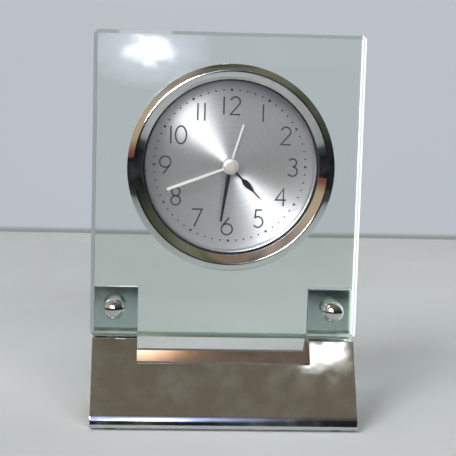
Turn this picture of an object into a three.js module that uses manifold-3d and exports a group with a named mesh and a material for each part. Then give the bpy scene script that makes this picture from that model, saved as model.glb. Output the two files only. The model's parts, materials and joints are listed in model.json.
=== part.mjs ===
// A glass desk clock: an upright glass plate on a hollow chromed base, with a round alarm clock insert in it.
// Millimetres, +Z up, the dial faces -Y. The origin is on the table, in the middle of the base.
import * as THREE from "three";
import { mergeVertices } from "three/addons/utils/BufferGeometryUtils.js";
import Module from "manifold-3d";

const wasm = await Module();
wasm.setup();

// Glass plate
const GLASS_OVERHANG = 0.75; // past each end of the base
const GLASS_HEIGHT = 104.3;
const GLASS_THICKNESS = 6;
const GLASS_CHAMFER = 0.8;
const GLASS_SCREW_HOLE_RADIUS = 3;
const GLASS_SEAT_GAP = 0.3;

// Base, one hollow profile with a wide slot cut across its ridge
const BASE_WIDTH = 90;
const BASE_DEPTH = 50.2;
const BASE_WALL = 2.2;
const RIDGE_HEIGHT = 28;
const NOSE_RADIUS = 2.6;
const NOSE_RUN = 17.6; // from the glass front to the tip of the nose
const LEDGE_LIP = 0.5; // the ledge shows this much in front of the glass
const LEDGE_ROUND = 0.7;
const LUG_THICKNESS = 3;
const LUG_HEIGHT = 17.1;
const LUG_WIDTH = 15.5;
const SLOT_DROP = 7.3;
const FLANGE_LENGTH = 12; // turned in under the base, for the feet
const REAR_TOE = 1.2;

// Feet
const FOOT_RADIUS = 3.5;
const FOOT_HEIGHT = 0.8;
const FOOT_INSET = 7; // from the end of the base to a foot's middle

// Screws that hold the glass to the lugs
const SCREW_INSET = 7.4; // from the end of the base to a screw's axis
const SCREW_ABOVE_LEDGE = 10.1;
const SCREW_HEAD_RADIUS = 3.7;
const SCREW_HEAD_HEIGHT = 3;
const SCREW_RADIUS = 1.9;
const SCREW_CLEARANCE = 0.15;
const SCREW_TAIL = 0.8; // past the nut
const PAD_THICKNESS = 1;
const PAD_RADIUS = 3.5;
const NUT_ACROSS_FLATS = 7;
const NUT_THICKNESS = 3.2;

// Insert: its axis in the glass
const INSERT_X = 1;
const INSERT_ABOVE_LEDGE = 59.4;
const SEAT = 0.1; // between faces that rest on each other
const RUNNING = 0.1; // round a shaft or a pipe that turns

// Bezel, lens and housing
const BEZEL_RADIUS = 35;
const BEZEL_CREST_RADIUS = 32.45;
const BEZEL_OPENING_RADIUS = 29.75;
const BEZEL_HEIGHT = 4.2;
const BEZEL_EDGE = 1.2;
const BEZEL_EDGE_WIDTH = 0.9;
const BEZEL_SHOULDER = 2.7;
const BEZEL_CREST_WIDTH = 0.5;
const BEZEL_CREST_DROP = 0.2;
const BEZEL_LIP = 0.5;
const BEZEL_INNER_EDGE = 1.4;
const BEZEL_SKIRT_DEPTH = 2.5;
const BEZEL_SKIRT_WALL = 0.8;
const HOUSING_RADIUS = 30.3;
const HOUSING_WALL = 1;
const HOUSING_SEAT_WIDTH = 1;
const LENS_THICKNESS = 1.25;
const GASKET_THICKNESS = 1;
const HOLE_CLEARANCE = 0.1;
const DIAL_THICKNESS = 0.4;
const DIAL_DEPTH = 5.7; // from the glass front back to the dial face

// Rear cover and what is in it
const COVER_THICKNESS = 2.6;
const COVER_SPIGOT_WALL = 1;
const COVER_SPIGOT_LENGTH = 0.8;
const DOOR_WIDTH = 13.2;
const DOOR_LENGTH = 15.3;
const DOOR_TONGUE = 1;
const DOOR_OUTER_THICKNESS = 0.9;
const DOOR_TONGUE_THICKNESS = 0.9;
const DOOR_GAP = 0.2;
const DOOR_RIBS = 3;
const DOOR_RIB_START = 3; // from the door's lower edge
const DOOR_RIB_PITCH = 1.4;
const DOOR_RIB_WIDTH = 0.7;
const DOOR_RIB_HEIGHT = 0.5;
const KNOB_RADIUS = 4.5;
const KNOB_LENGTH = 4.5;
const KNOB_RIBS = 16;
const KNOB_RIB_DEPTH = 0.35;
const STEM_RADIUS = 0.7;
const SWITCH_X = 13;
const SWITCH_Y = -13;
const SWITCH_WIDTH = 3;
const SWITCH_HEIGHT = 2;
const SWITCH_TRAVEL = 2.5;
const SWITCH_STAND = 1.6;
const SWITCH_FOOT_WIDTH = 6;
const SWITCH_FOOT_HEIGHT = 4;
const SWITCH_FOOT_THICKNESS = 0.35;
const SOUND_HOLES = 6;
const SOUND_HOLE_RADIUS = 0.8;
const SOUND_HOLE_CIRCLE_RADIUS = 4.5;

// Movement plates and pillars
const MAIN_PLATE_THICKNESS = 1.5;
const REAR_PLATE_RADIUS = 26.6;
const REAR_PLATE_THICKNESS = 0.8;
const REAR_PLATE_GAP = 0.6; // between the rear plate and the cover
const PILLAR_RADIUS = 1.6;
const PILLAR_WALL_GAP = 2.2; // between a pillar and the housing
const PILLAR_ANGLES = [30, 150, 270];
const COVER_SCREW_RADIUS = 0.6;
const COVER_SCREW_HEAD_RADIUS = 1.7;
const COVER_SCREW_HEAD_HEIGHT = 0.9;
const COVER_SCREW_LENGTH = 8;

// Gear train: teeth of each wheel and pinion
const TEETH = {
  rotorPinion: 6,
  intermediateWheel: 45,
  intermediatePinion: 8,
  secondWheel: 32,
  secondPinion: 6,
  thirdWheel: 45,
  thirdPinion: 6,
  centreWheel: 48,
  cannonPinion: 10,
  motionWheel: 30,
  motionPinion: 8,
  hourWheel: 32,
  alarmWheel: 32,
  alarmPinion: 8,
};
const THIRD_AXIS_RADIUS = 8.1; // of the circle round the other wheel's axis that it stands on
const STEM_AXIS_RADIUS = 8.5;
const INTERMEDIATE_AXIS_RADIUS = 6.8;
const ROTOR_AXIS_RADIUS = 6.63;
const THIRD_ANGLE = 90; // seen from the front, counter-clockwise from the right
const TIME_STEM_ANGLE = -20;
const ALARM_STEM_ANGLE = 200;
const INTERMEDIATE_ANGLE = -90;
const ROTOR_ANGLE = -60;
const WHEEL_THICKNESS = 0.6;
const LAYER_PITCH = 1.1;
const FIRST_LAYER_GAP = 0.8; // behind the main plate
const LAYERS = { alarm: 0, hour: 1, motion: 2, centre: 3, third: 4, second: 5, intermediate: 6 };
// Shares of the module and of one tooth's step
const TOOTH_ABOVE_PITCH = 0.75;
const TOOTH_BELOW_PITCH = 1.05;
const TOOTH_TIP_SHARE = 0.1;
const TOOTH_ROOT_SHARE = 0.27;

// Arbors and pipes, one inside the other
const ARBOR_RADIUS = 0.4;
const CANNON_RADIUS = 0.9;
const HOUR_PIPE_RADIUS = 1.5;
const ALARM_PIPE_RADIUS = 2.1;
const PIVOT_DEPTH = 0.7; // of a pivot in the main plate
const PIVOT_END_GAP = 0.2;

// Hands, with the length and the clock angle of each in degrees from twelve
const HAND_HUB_RADIUS = 2.7;
const HAND_THICKNESS = 0.25;
const HAND_HUB_HEIGHT = 0.6;
const HAND_SPACING = 0.9;
const HAND_ORDER = { second: 0, minute: 1, hour: 2, alarm: 3 };
const SECOND_HAND_DEPTH = 1.95;
const SECOND_HAND_LENGTH = 22.9;
const SECOND_HAND_ANGLE = 249.2;
const MINUTE_HAND_LENGTH = 19.2;
const MINUTE_HAND_ANGLE = 188.3;
const HOUR_HAND_LENGTH = 14.8;
const HOUR_HAND_ANGLE = 136.3;
const ALARM_HAND_LENGTH = 14.8;
const ALARM_HAND_ANGLE = 16.9;
const CAP_RADIUS = 2.45;
const CAP_THICKNESS = 0.45;

// Motor, circuit and battery
const ROTOR_MAGNET_RADIUS = 2;
const ROTOR_MAGNET_THICKNESS = 1.4;
const ROTOR_AIR_GAP = 0.5;
const ROTOR_FRONT_GAP = 0.6; // between the last wheel and the magnet
const ROTOR_REAR_GAP = 0.5; // between the magnet and the rear plate
const STATOR_THICKNESS = 0.8;
const STATOR_WIDTH = 18;
const STATOR_BAR = 6.8;
const STATOR_LEG = 3;
const STATOR_HEIGHT = 13.3;
const STATOR_SHIFT = -0.3; // its middle stands this far from the rotor's
const CORE_ABOVE_LEG_END = 2.6;
const COIL_RADIUS = 1.9;
const CORE_WIDTH = 2;
const CORE_THICKNESS = 0.8;
const COIL_BORE_RADIUS = 1.2;
const BOARD_WIDTH = 30;
const BOARD_HEIGHT = 10;
const BOARD_THICKNESS = 0.8;
const BOARD_Y = 16.5;
const CRYSTAL_RADIUS = 1;
const CRYSTAL_LENGTH = 6;
const CHIP_RADIUS = 2.5;
const CHIP_HEIGHT = 1;
const CHIP_DOME_SHARE = 0.75; // of its radius and height, where its dome bends
const BUZZER_RADIUS = 9;
const BUZZER_THICKNESS = 0.35;
const BUZZER_Y = 14;
const CELL_RADIUS = 5.8;
const CELL_HEIGHT = 5.4;
const CELL_X = -12.5;
const CELL_Y = -12.5;
const CELL_CLEARANCE = 0.3;
const CELL_SHOULDER = 0.9;
const CONTACT_THICKNESS = 0.2;
const CONTACT_WIDTH = 2.4;
const CONTACT_TAIL_INSET = 1; // over the circuit board
const CONTACT_ARC_FROM = 120; // degrees
const CONTACT_ARC_TO = 260;

// Roundness of large, middle and small circles
const LARGE = 42;
const MIDDLE = 16;
const SMALL = 8;

const PAST = 1; // a cut runs past the face that it opens

// Places that follow from the values above
const GLASS_WIDTH = BASE_WIDTH + 2 * GLASS_OVERHANG;
const SLOT_WIDTH = BASE_WIDTH - 2 * LUG_WIDTH;
const FOOT_X = BASE_WIDTH / 2 - FOOT_INSET;
const SCREW_X = BASE_WIDTH / 2 - SCREW_INSET;
const SCREW_Z = RIDGE_HEIGHT + SCREW_ABOVE_LEDGE;
const BASE_BOTTOM = FOOT_HEIGHT;
const FRONT_Y = -BASE_DEPTH / 2;
const REAR_Y = BASE_DEPTH / 2;
const GLASS_FRONT_Y = FRONT_Y + NOSE_RUN;
const LUG_FRONT_Y = GLASS_FRONT_Y + GLASS_THICKNESS + PAD_THICKNESS;
const LUG_REAR_Y = LUG_FRONT_Y + LUG_THICKNESS;
const GLASS_BOTTOM = RIDGE_HEIGHT + GLASS_SEAT_GAP;
const INSERT_Z = RIDGE_HEIGHT + INSERT_ABOVE_LEDGE;
const HOLE_RADIUS = HOUSING_RADIUS + HOLE_CLEARANCE + GASKET_THICKNESS + HOLE_CLEARANCE;
const HOUSING_INNER_RADIUS = HOUSING_RADIUS - HOUSING_WALL;
const MOVEMENT_RADIUS = HOUSING_INNER_RADIUS - HOUSING_SEAT_WIDTH;
const PILLAR_CIRCLE_RADIUS = MOVEMENT_RADIUS - PILLAR_WALL_GAP - PILLAR_RADIUS;
const LENS_FRONT = BEZEL_LIP - SEAT;
const LENS_REAR = LENS_FRONT - LENS_THICKNESS;
const DIAL_REAR = -DIAL_DEPTH - DIAL_THICKNESS;
const MAIN_PLATE_FRONT = DIAL_REAR - 2 * SEAT;
const MAIN_PLATE_REAR = MAIN_PLATE_FRONT - MAIN_PLATE_THICKNESS;
const layerFront = (layer) => MAIN_PLATE_REAR - FIRST_LAYER_GAP - layer * LAYER_PITCH;
const layerRear = (layer) => layerFront(layer) - WHEEL_THICKNESS;
const handFront = (place) => -SECOND_HAND_DEPTH - place * HAND_SPACING;
const ROTOR_MAGNET_FRONT = layerRear(LAYERS.intermediate) - ROTOR_FRONT_GAP;
const ROTOR_MAGNET_REAR = ROTOR_MAGNET_FRONT - ROTOR_MAGNET_THICKNESS;
const REAR_PLATE_FRONT = ROTOR_MAGNET_REAR - ROTOR_REAR_GAP;
const REAR_PLATE_REAR = REAR_PLATE_FRONT - REAR_PLATE_THICKNESS;
const COVER_FRONT = REAR_PLATE_REAR - REAR_PLATE_GAP;
const COVER_REAR = COVER_FRONT - COVER_THICKNESS;
const HOUSING_REAR = COVER_FRONT + 2 * SEAT;
const degrees = THREE.MathUtils.degToRad;
const polar = (distance, angle) =>
  new THREE.Vector2(Math.cos(degrees(angle)), Math.sin(degrees(angle))).multiplyScalar(distance);
const CENTRE = new THREE.Vector2(0, 0);
const THIRD = polar(THIRD_AXIS_RADIUS, THIRD_ANGLE);
const TIME_STEM = polar(STEM_AXIS_RADIUS, TIME_STEM_ANGLE);
const ALARM_STEM = polar(STEM_AXIS_RADIUS, ALARM_STEM_ANGLE);
const INTERMEDIATE = polar(INTERMEDIATE_AXIS_RADIUS, INTERMEDIATE_ANGLE);
const ROTOR = polar(ROTOR_AXIS_RADIUS, ROTOR_ANGLE).add(INTERMEDIATE);

const finish = (color, roughness, metalness, opacity = 1) =>
  new THREE.MeshStandardMaterial({ color, roughness, metalness, opacity, transparent: opacity < 1 });
const chrome = finish(0xc9cccb, 0.08, 1);
const clearGlass = finish(0xdfeee6, 0.03, 0, 0.35);
const clearPlastic = finish(0xf4f7f6, 0.05, 0, 0.3);
const spunMetal = finish(0xc4c5ca, 0.35, 1);
const navyPaint = finish(0x1b2136, 0.5, 0);
const whitePaint = finish(0xf1f1ee, 0.45, 0);
const blackPlastic = finish(0x1c1c1e, 0.5, 0);
const whitePlastic = finish(0xe8e6df, 0.5, 0);
const rubber = finish(0x1a1a1a, 0.9, 0);
const steel = finish(0xa9abad, 0.3, 1);
const brass = finish(0xc2a25a, 0.3, 1);
const copper = finish(0xa85a32, 0.4, 1);
const board = finish(0x2d5a3a, 0.6, 0);

// Closed geometry to a solid, and back
function solidOf(geometry) {
  const bare = (geometry.index ? geometry.toNonIndexed() : geometry.clone())
    .deleteAttribute("normal")
    .deleteAttribute("uv");
  const merged = mergeVertices(bare, 1e-4);
  const all = merged.index.array;
  const kept = [];
  for (let i = 0; i < all.length; i += 3) {
    const [a, b, c] = [all[i], all[i + 1], all[i + 2]];
    if (a !== b && b !== c && c !== a) kept.push(a, b, c);
  }
  const vertProperties = merged.attributes.position.array;
  const make = (list) =>
    new wasm.Manifold(new wasm.Mesh({ numProp: 3, vertProperties, triVerts: new Uint32Array(list) }));
  const made = make(kept);
  return made.volume() > 0 ? made : make(kept.reverse());
}

function geometryOf(solid) {
  const mesh = solid.getMesh();
  const positions = new Float32Array(mesh.vertProperties);
  const indexed = new THREE.BufferGeometry()
    .setAttribute("position", new THREE.BufferAttribute(positions, 3))
    .setIndex(new THREE.BufferAttribute(new Uint32Array(mesh.triVerts), 1));
  const flat = indexed.toNonIndexed();
  flat.computeVertexNormals();
  return flat;
}

const union = (first, ...others) => others.reduce((sum, other) => sum.add(other), first);
const minus = (first, ...others) => others.reduce((rest, other) => rest.subtract(other), first);

// A solid moved by a matrix
const placed = (solid, matrix) => solidOf(geometryOf(solid).applyMatrix4(matrix));
// From lying in the (x, y) plane to standing up, its height then towards -Y
const STANDING = new THREE.Matrix4().makeRotationX(Math.PI / 2);
// From along z to along x
const ALONG_X = new THREE.Matrix4().makeRotationY(Math.PI / 2);

// A profile of [radius, z] points turned round the z axis at (x, y)
function turned(profile, steps, at = CENTRE) {
  const closed = profile[0][0] > 0 || profile.at(-1)[0] > 0 ? [...profile, profile[0]] : profile;
  const points = closed.map(([r, z]) => new THREE.Vector2(r, z));
  const geometry = new THREE.LatheGeometry(points, steps).rotateX(Math.PI / 2);
  return solidOf(geometry.translate(at.x, at.y, 0));
}

const rod = (radius, from, to, steps = SMALL, at = CENTRE) =>
  turned([[0, from], [radius, from], [radius, to], [0, to]], steps, at);

const tube = (inner, outer, from, to, steps = SMALL, at = CENTRE) =>
  turned([[inner, from], [outer, from], [outer, to], [inner, to]], steps, at);

function block(x0, x1, y0, y1, z0, z1) {
  const geometry = new THREE.BoxGeometry(x1 - x0, y1 - y0, z1 - z0);
  return solidOf(geometry.translate((x0 + x1) / 2, (y0 + y1) / 2, (z0 + z1) / 2));
}

// A flat outline made thick between two heights
function plate(shape, from, to, curveSegments = 12) {
  const depth = to - from;
  const geometry = new THREE.ExtrudeGeometry(shape, { depth, bevelEnabled: false, curveSegments });
  return solidOf(geometry.translate(0, 0, from));
}

// An outline in the (y, z) plane drawn along x, from x0 to x1
function drawnAlongX(shape, x0, x1, curveSegments = 8) {
  const geometry = new THREE.ExtrudeGeometry(shape, {
    depth: x1 - x0,
    bevelEnabled: false,
    curveSegments,
  });
  const turn = new THREE.Matrix4().makeBasis(
    new THREE.Vector3(0, 1, 0),
    new THREE.Vector3(0, 0, 1),
    new THREE.Vector3(1, 0, 0),
  );
  return solidOf(geometry.applyMatrix4(turn).translate(x0, 0, 0));
}

function outline(points) {
  return new THREE.Shape(points.map(([x, y]) => new THREE.Vector2(x, y)));
}

// Teeth: narrow at the tip and full at the root, with play between neighbours.
// A tooth points along toothAngle, in radians.
function gear(teeth, module, toothAngle, front, at) {
  const pitchRadius = (teeth * module) / 2;
  const tip = pitchRadius + TOOTH_ABOVE_PITCH * module;
  const root = pitchRadius - TOOTH_BELOW_PITCH * module;
  const step = (2 * Math.PI) / teeth;
  const corners = [
    [root, -TOOTH_ROOT_SHARE],
    [tip, -TOOTH_TIP_SHARE],
    [tip, TOOTH_TIP_SHARE],
    [root, TOOTH_ROOT_SHARE],
  ];
  const points = [];
  for (let tooth = 0; tooth < teeth; tooth++) {
    for (const [radius, share] of corners) {
      const angle = toothAngle + (tooth + share) * step;
      points.push([at.x + radius * Math.cos(angle), at.y + radius * Math.sin(angle)]);
    }
  }
  return plate(outline(points), front - WHEEL_THICKNESS, front);
}

// A wheel and the pinion it runs with, in one layer: a tooth of the wheel stands in a gap of the pinion
function meshed(wheelTeeth, wheelAt, pinionTeeth, pinionAt, layer) {
  const between = pinionAt.clone().sub(wheelAt);
  const module = (2 * between.length()) / (wheelTeeth + pinionTeeth);
  const towards = between.angle();
  const front = layerFront(layer);
  const wheel = gear(wheelTeeth, module, towards, front, wheelAt);
  const pinion = gear(pinionTeeth, module, towards + Math.PI + Math.PI / pinionTeeth, front, pinionAt);
  return [wheel, pinion];
}

const object = new THREE.Group();
const insert = new THREE.Group();
insert.position.set(INSERT_X, GLASS_FRONT_Y, INSERT_Z);
insert.rotation.x = Math.PI / 2; // inside: x to the right, y up, z to the front from the glass face
object.add(insert);

function add(parent, name, solid, material) {
  const mesh = new THREE.Mesh(geometryOf(solid), material);
  mesh.name = name;
  parent.add(mesh);
}

// Where a line from the point meets a circle without cutting it, on the left of the line to its centre
function tangentPoint(point, centre, radius) {
  const line = centre.clone().sub(point);
  const reach = Math.sqrt(line.lengthSq() - radius * radius);
  const turn = Math.asin(radius / line.length());
  return point.clone().add(line.setLength(reach).rotateAround(CENTRE, -turn));
}

function baseShell() {
  const ledgeY = GLASS_FRONT_Y - LEDGE_LIP;
  const ledge = new THREE.Vector2(ledgeY, RIDGE_HEIGHT);
  const nose = new THREE.Vector2(FRONT_Y + NOSE_RADIUS, BASE_BOTTOM + NOSE_RADIUS);
  const apronFoot = tangentPoint(ledge, nose, NOSE_RADIUS);
  const apron = apronFoot.clone().sub(ledge).normalize();
  const lugTop = RIDGE_HEIGHT + LUG_HEIGHT;
  const toeTop = BASE_BOTTOM + REAR_TOE;

  const outside = new THREE.Shape();
  outside.moveTo(nose.x, BASE_BOTTOM);
  outside.lineTo(REAR_Y, BASE_BOTTOM);
  outside.lineTo(REAR_Y, toeTop);
  outside.lineTo(LUG_REAR_Y, RIDGE_HEIGHT);
  outside.lineTo(LUG_REAR_Y, lugTop);
  outside.lineTo(LUG_FRONT_Y, lugTop);
  outside.lineTo(LUG_FRONT_Y, RIDGE_HEIGHT);
  outside.lineTo(ledge.x + LEDGE_ROUND, ledge.y);
  const below = ledge.clone().addScaledVector(apron, LEDGE_ROUND);
  outside.quadraticCurveTo(ledge.x, ledge.y, below.x, below.y);
  outside.lineTo(apronFoot.x, apronFoot.y);
  const start = apronFoot.clone().sub(nose).angle();
  outside.absarc(nose.x, nose.y, NOSE_RADIUS, start, 1.5 * Math.PI, false);

  // The hollow keeps one wall thickness behind each face
  const apronNormal = new THREE.Vector2(-apron.y, apron.x);
  const rear = new THREE.Vector2(REAR_Y - LUG_REAR_Y, toeTop - RIDGE_HEIGHT).normalize();
  const rearNormal = new THREE.Vector2(rear.y, -rear.x);
  const onLine = (point, direction, normal, z) => {
    const inside = point.clone().addScaledVector(normal, BASE_WALL);
    return inside.x + (direction.x / direction.y) * (z - inside.y);
  };
  const lugFoot = new THREE.Vector2(LUG_REAR_Y, RIDGE_HEIGHT);
  const floor = BASE_BOTTOM + BASE_WALL;
  const ceiling = RIDGE_HEIGHT - BASE_WALL;
  const hollow = outline([
    [onLine(ledge, apron, apronNormal, floor), floor],
    [onLine(lugFoot, rear, rearNormal, floor), floor],
    [onLine(lugFoot, rear, rearNormal, ceiling), ceiling],
    [onLine(ledge, apron, apronNormal, ceiling), ceiling],
  ]);
  const past = BASE_WIDTH;
  const half = BASE_WIDTH / 2;
  const profile = drawnAlongX(outside, -half, half);
  const shell = minus(
    profile,
    drawnAlongX(hollow, -past, past),
    block(-past, past, FRONT_Y + FLANGE_LENGTH, REAR_Y - FLANGE_LENGTH, -floor, floor + SEAT),
    block(-SLOT_WIDTH / 2, SLOT_WIDTH / 2, -past, past, RIDGE_HEIGHT - SLOT_DROP, lugTop + past),
  );
  const bore = SCREW_RADIUS + SCREW_CLEARANCE;
  const holes = [-SCREW_X, SCREW_X].map((x) => {
    const lying = rod(bore, -past, past, MIDDLE, new THREE.Vector2(x, SCREW_Z));
    return placed(lying, STANDING);
  });
  return minus(shell, ...holes);
}

function glassPanel() {
  const half = GLASS_WIDTH / 2;
  const shape = outline([
    [-half, GLASS_BOTTOM],
    [half, GLASS_BOTTOM],
    [half, GLASS_BOTTOM + GLASS_HEIGHT],
    [-half, GLASS_BOTTOM + GLASS_HEIGHT],
  ]);
  const geometry = new THREE.ExtrudeGeometry(shape, {
    depth: GLASS_THICKNESS - 2 * GLASS_CHAMFER,
    bevelThickness: GLASS_CHAMFER,
    bevelSize: GLASS_CHAMFER,
    bevelOffset: -GLASS_CHAMFER,
    bevelSegments: 1,
  });
  const body = solidOf(geometry.translate(0, 0, GLASS_CHAMFER - GLASS_THICKNESS));
  const deep = 2 * GLASS_THICKNESS;
  const drill = (x, z, radius, steps) => rod(radius, -deep, deep, steps, new THREE.Vector2(x, z));
  const drilled = minus(
    body,
    drill(INSERT_X, INSERT_Z, HOLE_RADIUS, LARGE),
    drill(-SCREW_X, SCREW_Z, GLASS_SCREW_HOLE_RADIUS, MIDDLE),
    drill(SCREW_X, SCREW_Z, GLASS_SCREW_HOLE_RADIUS, MIDDLE),
  );
  return placed(drilled, STANDING.clone().setPosition(0, GLASS_FRONT_Y, 0));
}

// One glass fixing: a dome screw, the sleeve in the glass, the pad behind it and the nut behind the lug
function glassFixing(side, x) {
  const fixing = new THREE.Group();
  fixing.position.set(x, GLASS_FRONT_Y, SCREW_Z);
  fixing.rotation.x = Math.PI / 2;
  object.add(fixing);
  const bore = SCREW_RADIUS + SCREW_CLEARANCE;
  const lugRear = -GLASS_THICKNESS - PAD_THICKNESS - LUG_THICKNESS;
  const nutRear = lugRear - SEAT - NUT_THICKNESS;
  const bulge = (SCREW_HEAD_RADIUS ** 2 + SCREW_HEAD_HEIGHT ** 2) / (2 * SCREW_HEAD_HEIGHT);
  const dome = [];
  const steps = 5;
  const open = Math.asin(SCREW_HEAD_RADIUS / bulge);
  for (let i = 0; i <= steps; i++) {
    const angle = open * (1 - i / steps);
    const z = SEAT + SCREW_HEAD_HEIGHT - bulge + bulge * Math.cos(angle);
    dome.push([i === steps ? 0 : bulge * Math.sin(angle), z]);
  }
  const tail = nutRear - SCREW_TAIL;
  const screw = turned([[0, tail], [SCREW_RADIUS, tail], [SCREW_RADIUS, SEAT], ...dome], MIDDLE);
  add(fixing, `dome_screw_${side}`, screw, chrome);

  const sleeveOuter = GLASS_SCREW_HOLE_RADIUS - SCREW_CLEARANCE;
  const sleeve = tube(bore, sleeveOuter, -GLASS_THICKNESS + SEAT, -SEAT, MIDDLE);
  add(fixing, `glass_sleeve_${side}`, sleeve, clearPlastic);

  const padFront = -GLASS_THICKNESS - SEAT;
  const pad = tube(bore, PAD_RADIUS, padFront - PAD_THICKNESS + 2 * SEAT, padFront, MIDDLE);
  add(fixing, `glass_pad_${side}`, pad, rubber);

  const cornerRadius = NUT_ACROSS_FLATS / 2 / Math.cos(Math.PI / 6);
  const hexagon = rod(cornerRadius, nutRear, lugRear - SEAT, 6);
  const nut = minus(hexagon, rod(SCREW_RADIUS + SEAT, nutRear - PAST, lugRear + PAST, MIDDLE));
  add(fixing, `lug_nut_${side}`, nut, steel);
}

function feet() {
  const y = REAR_Y - FLANGE_LENGTH / 2;
  const places = [
    ["front_left", -FOOT_X, -y],
    ["front_right", FOOT_X, -y],
    ["rear_left", -FOOT_X, y],
    ["rear_right", FOOT_X, y],
  ];
  for (const [name, x, footY] of places) {
    const top = FOOT_HEIGHT - SEAT / 2;
    const foot = rod(FOOT_RADIUS, 0, top, MIDDLE, new THREE.Vector2(x, footY));
    add(object, `foot_${name}`, foot, rubber);
  }
}

// The face of the clock: bezel, lens, gasket, housing and dial
function clockCase() {
  const skirtInner = HOUSING_RADIUS + HOLE_CLEARANCE;
  const bezel = turned(
    [
      [BEZEL_OPENING_RADIUS, BEZEL_LIP],
      [skirtInner, BEZEL_LIP],
      [skirtInner, -BEZEL_SKIRT_DEPTH],
      [skirtInner + BEZEL_SKIRT_WALL, -BEZEL_SKIRT_DEPTH],
      [skirtInner + BEZEL_SKIRT_WALL, SEAT],
      [BEZEL_RADIUS, SEAT],
      [BEZEL_RADIUS, BEZEL_EDGE],
      [BEZEL_RADIUS - BEZEL_EDGE_WIDTH, BEZEL_SHOULDER],
      [BEZEL_CREST_RADIUS + BEZEL_CREST_WIDTH, BEZEL_HEIGHT - BEZEL_CREST_DROP],
      [BEZEL_CREST_RADIUS, BEZEL_HEIGHT],
      [BEZEL_CREST_RADIUS - BEZEL_CREST_WIDTH, BEZEL_HEIGHT - BEZEL_CREST_DROP],
      [BEZEL_OPENING_RADIUS, BEZEL_INNER_EDGE],
    ],
    LARGE,
  );
  add(insert, "bezel", bezel, chrome);

  const lens = rod(HOUSING_RADIUS - SEAT, LENS_REAR, LENS_FRONT, LARGE);
  add(insert, "lens", lens, clearPlastic);

  const gasketInner = HOUSING_RADIUS + HOLE_CLEARANCE;
  const gasketOuter = gasketInner + GASKET_THICKNESS;
  const gasketFront = -BEZEL_SKIRT_DEPTH - 2 * SEAT;
  const gasketRear = -GLASS_THICKNESS;
  const gasket = tube(gasketInner, gasketOuter, gasketRear, gasketFront, LARGE);
  add(insert, "gasket", gasket, rubber);

  const rim = LENS_REAR - SEAT;
  const housing = turned(
    [
      [HOUSING_INNER_RADIUS, rim],
      [HOUSING_INNER_RADIUS, DIAL_REAR - SEAT],
      [MOVEMENT_RADIUS, DIAL_REAR - SEAT],
      [MOVEMENT_RADIUS, HOUSING_REAR],
      [HOUSING_RADIUS, HOUSING_REAR],
      [HOUSING_RADIUS, rim],
    ],
    LARGE,
  );
  add(insert, "housing", housing, blackPlastic);

  const dialInner = ALARM_PIPE_RADIUS + 3 * RUNNING;
  const dial = tube(dialInner, HOUSING_INNER_RADIUS - SEAT, DIAL_REAR, -DIAL_DEPTH, LARGE);
  add(insert, "dial", dial, spunMetal);
}

// A hand's right half outline as [x, y], pointing up, is turned to its clock angle
function hand(name, halfOutline, clockAngle, place, bore, material) {
  const left = halfOutline.map(([x, y]) => [-x, y]).reverse();
  const front = handFront(place);
  const bladeRear = front - HAND_HUB_HEIGHT / 2 - HAND_THICKNESS / 2;
  const blade = plate(outline([...halfOutline, ...left]), bladeRear, bladeRear + HAND_THICKNESS);
  const hub = rod(HAND_HUB_RADIUS, front - HAND_HUB_HEIGHT, front, MIDDLE);
  const hole = rod(bore + SEAT / 2, front - HAND_HUB_HEIGHT - PAST, front + PAST, MIDDLE);
  const turn = new THREE.Matrix4().makeRotationZ(-degrees(clockAngle));
  const solid = minus(union(placed(blade, turn), hub), hole);
  add(insert, name, solid, material);
}

// The half widths of each hand, from its hub to its tip. The hour hand swells to a drop on a thin stem.
const HAND_HALF_WIDTHS = {
  alarm: [0.29, 0.29],
  minute: [0.75, 0.3],
  second: [0.3, 0.43, 0.3],
  hour: [0.4, 0.32, 0.75, 1.08, 0.85, 0.45, 0.22, 0.2],
};
const HOUR_HAND_SHARES = [0, 0.405, 0.466, 0.534, 0.628, 0.736, 0.811, 1]; // of its length
const SECOND_HAND_SHARES = [0, 0.987, 1];

function hands() {
  const drawnHand = (kind, length, shares = [0, 1]) =>
    HAND_HALF_WIDTHS[kind].map((halfWidth, i) => [halfWidth, length * shares[i]]);
  const alarm = drawnHand("alarm", ALARM_HAND_LENGTH);
  const hour = drawnHand("hour", HOUR_HAND_LENGTH, HOUR_HAND_SHARES);
  const minute = drawnHand("minute", MINUTE_HAND_LENGTH);
  const second = drawnHand("second", SECOND_HAND_LENGTH, SECOND_HAND_SHARES);
  hand("alarm_hand", alarm, ALARM_HAND_ANGLE, HAND_ORDER.alarm, ALARM_PIPE_RADIUS, whitePaint);
  hand("hour_hand", hour, HOUR_HAND_ANGLE, HAND_ORDER.hour, HOUR_PIPE_RADIUS, navyPaint);
  hand("minute_hand", minute, MINUTE_HAND_ANGLE, HAND_ORDER.minute, CANNON_RADIUS, navyPaint);
  hand("second_hand", second, SECOND_HAND_ANGLE, HAND_ORDER.second, ARBOR_RADIUS, whitePaint);
  const capRear = handFront(HAND_ORDER.second) + SEAT;
  add(insert, "centre_cap", rod(CAP_RADIUS, capRear, capRear + CAP_THICKNESS, MIDDLE), whitePaint);
}

const pillarPlaces = PILLAR_ANGLES.map((angle) => polar(PILLAR_CIRCLE_RADIUS, angle));

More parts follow.
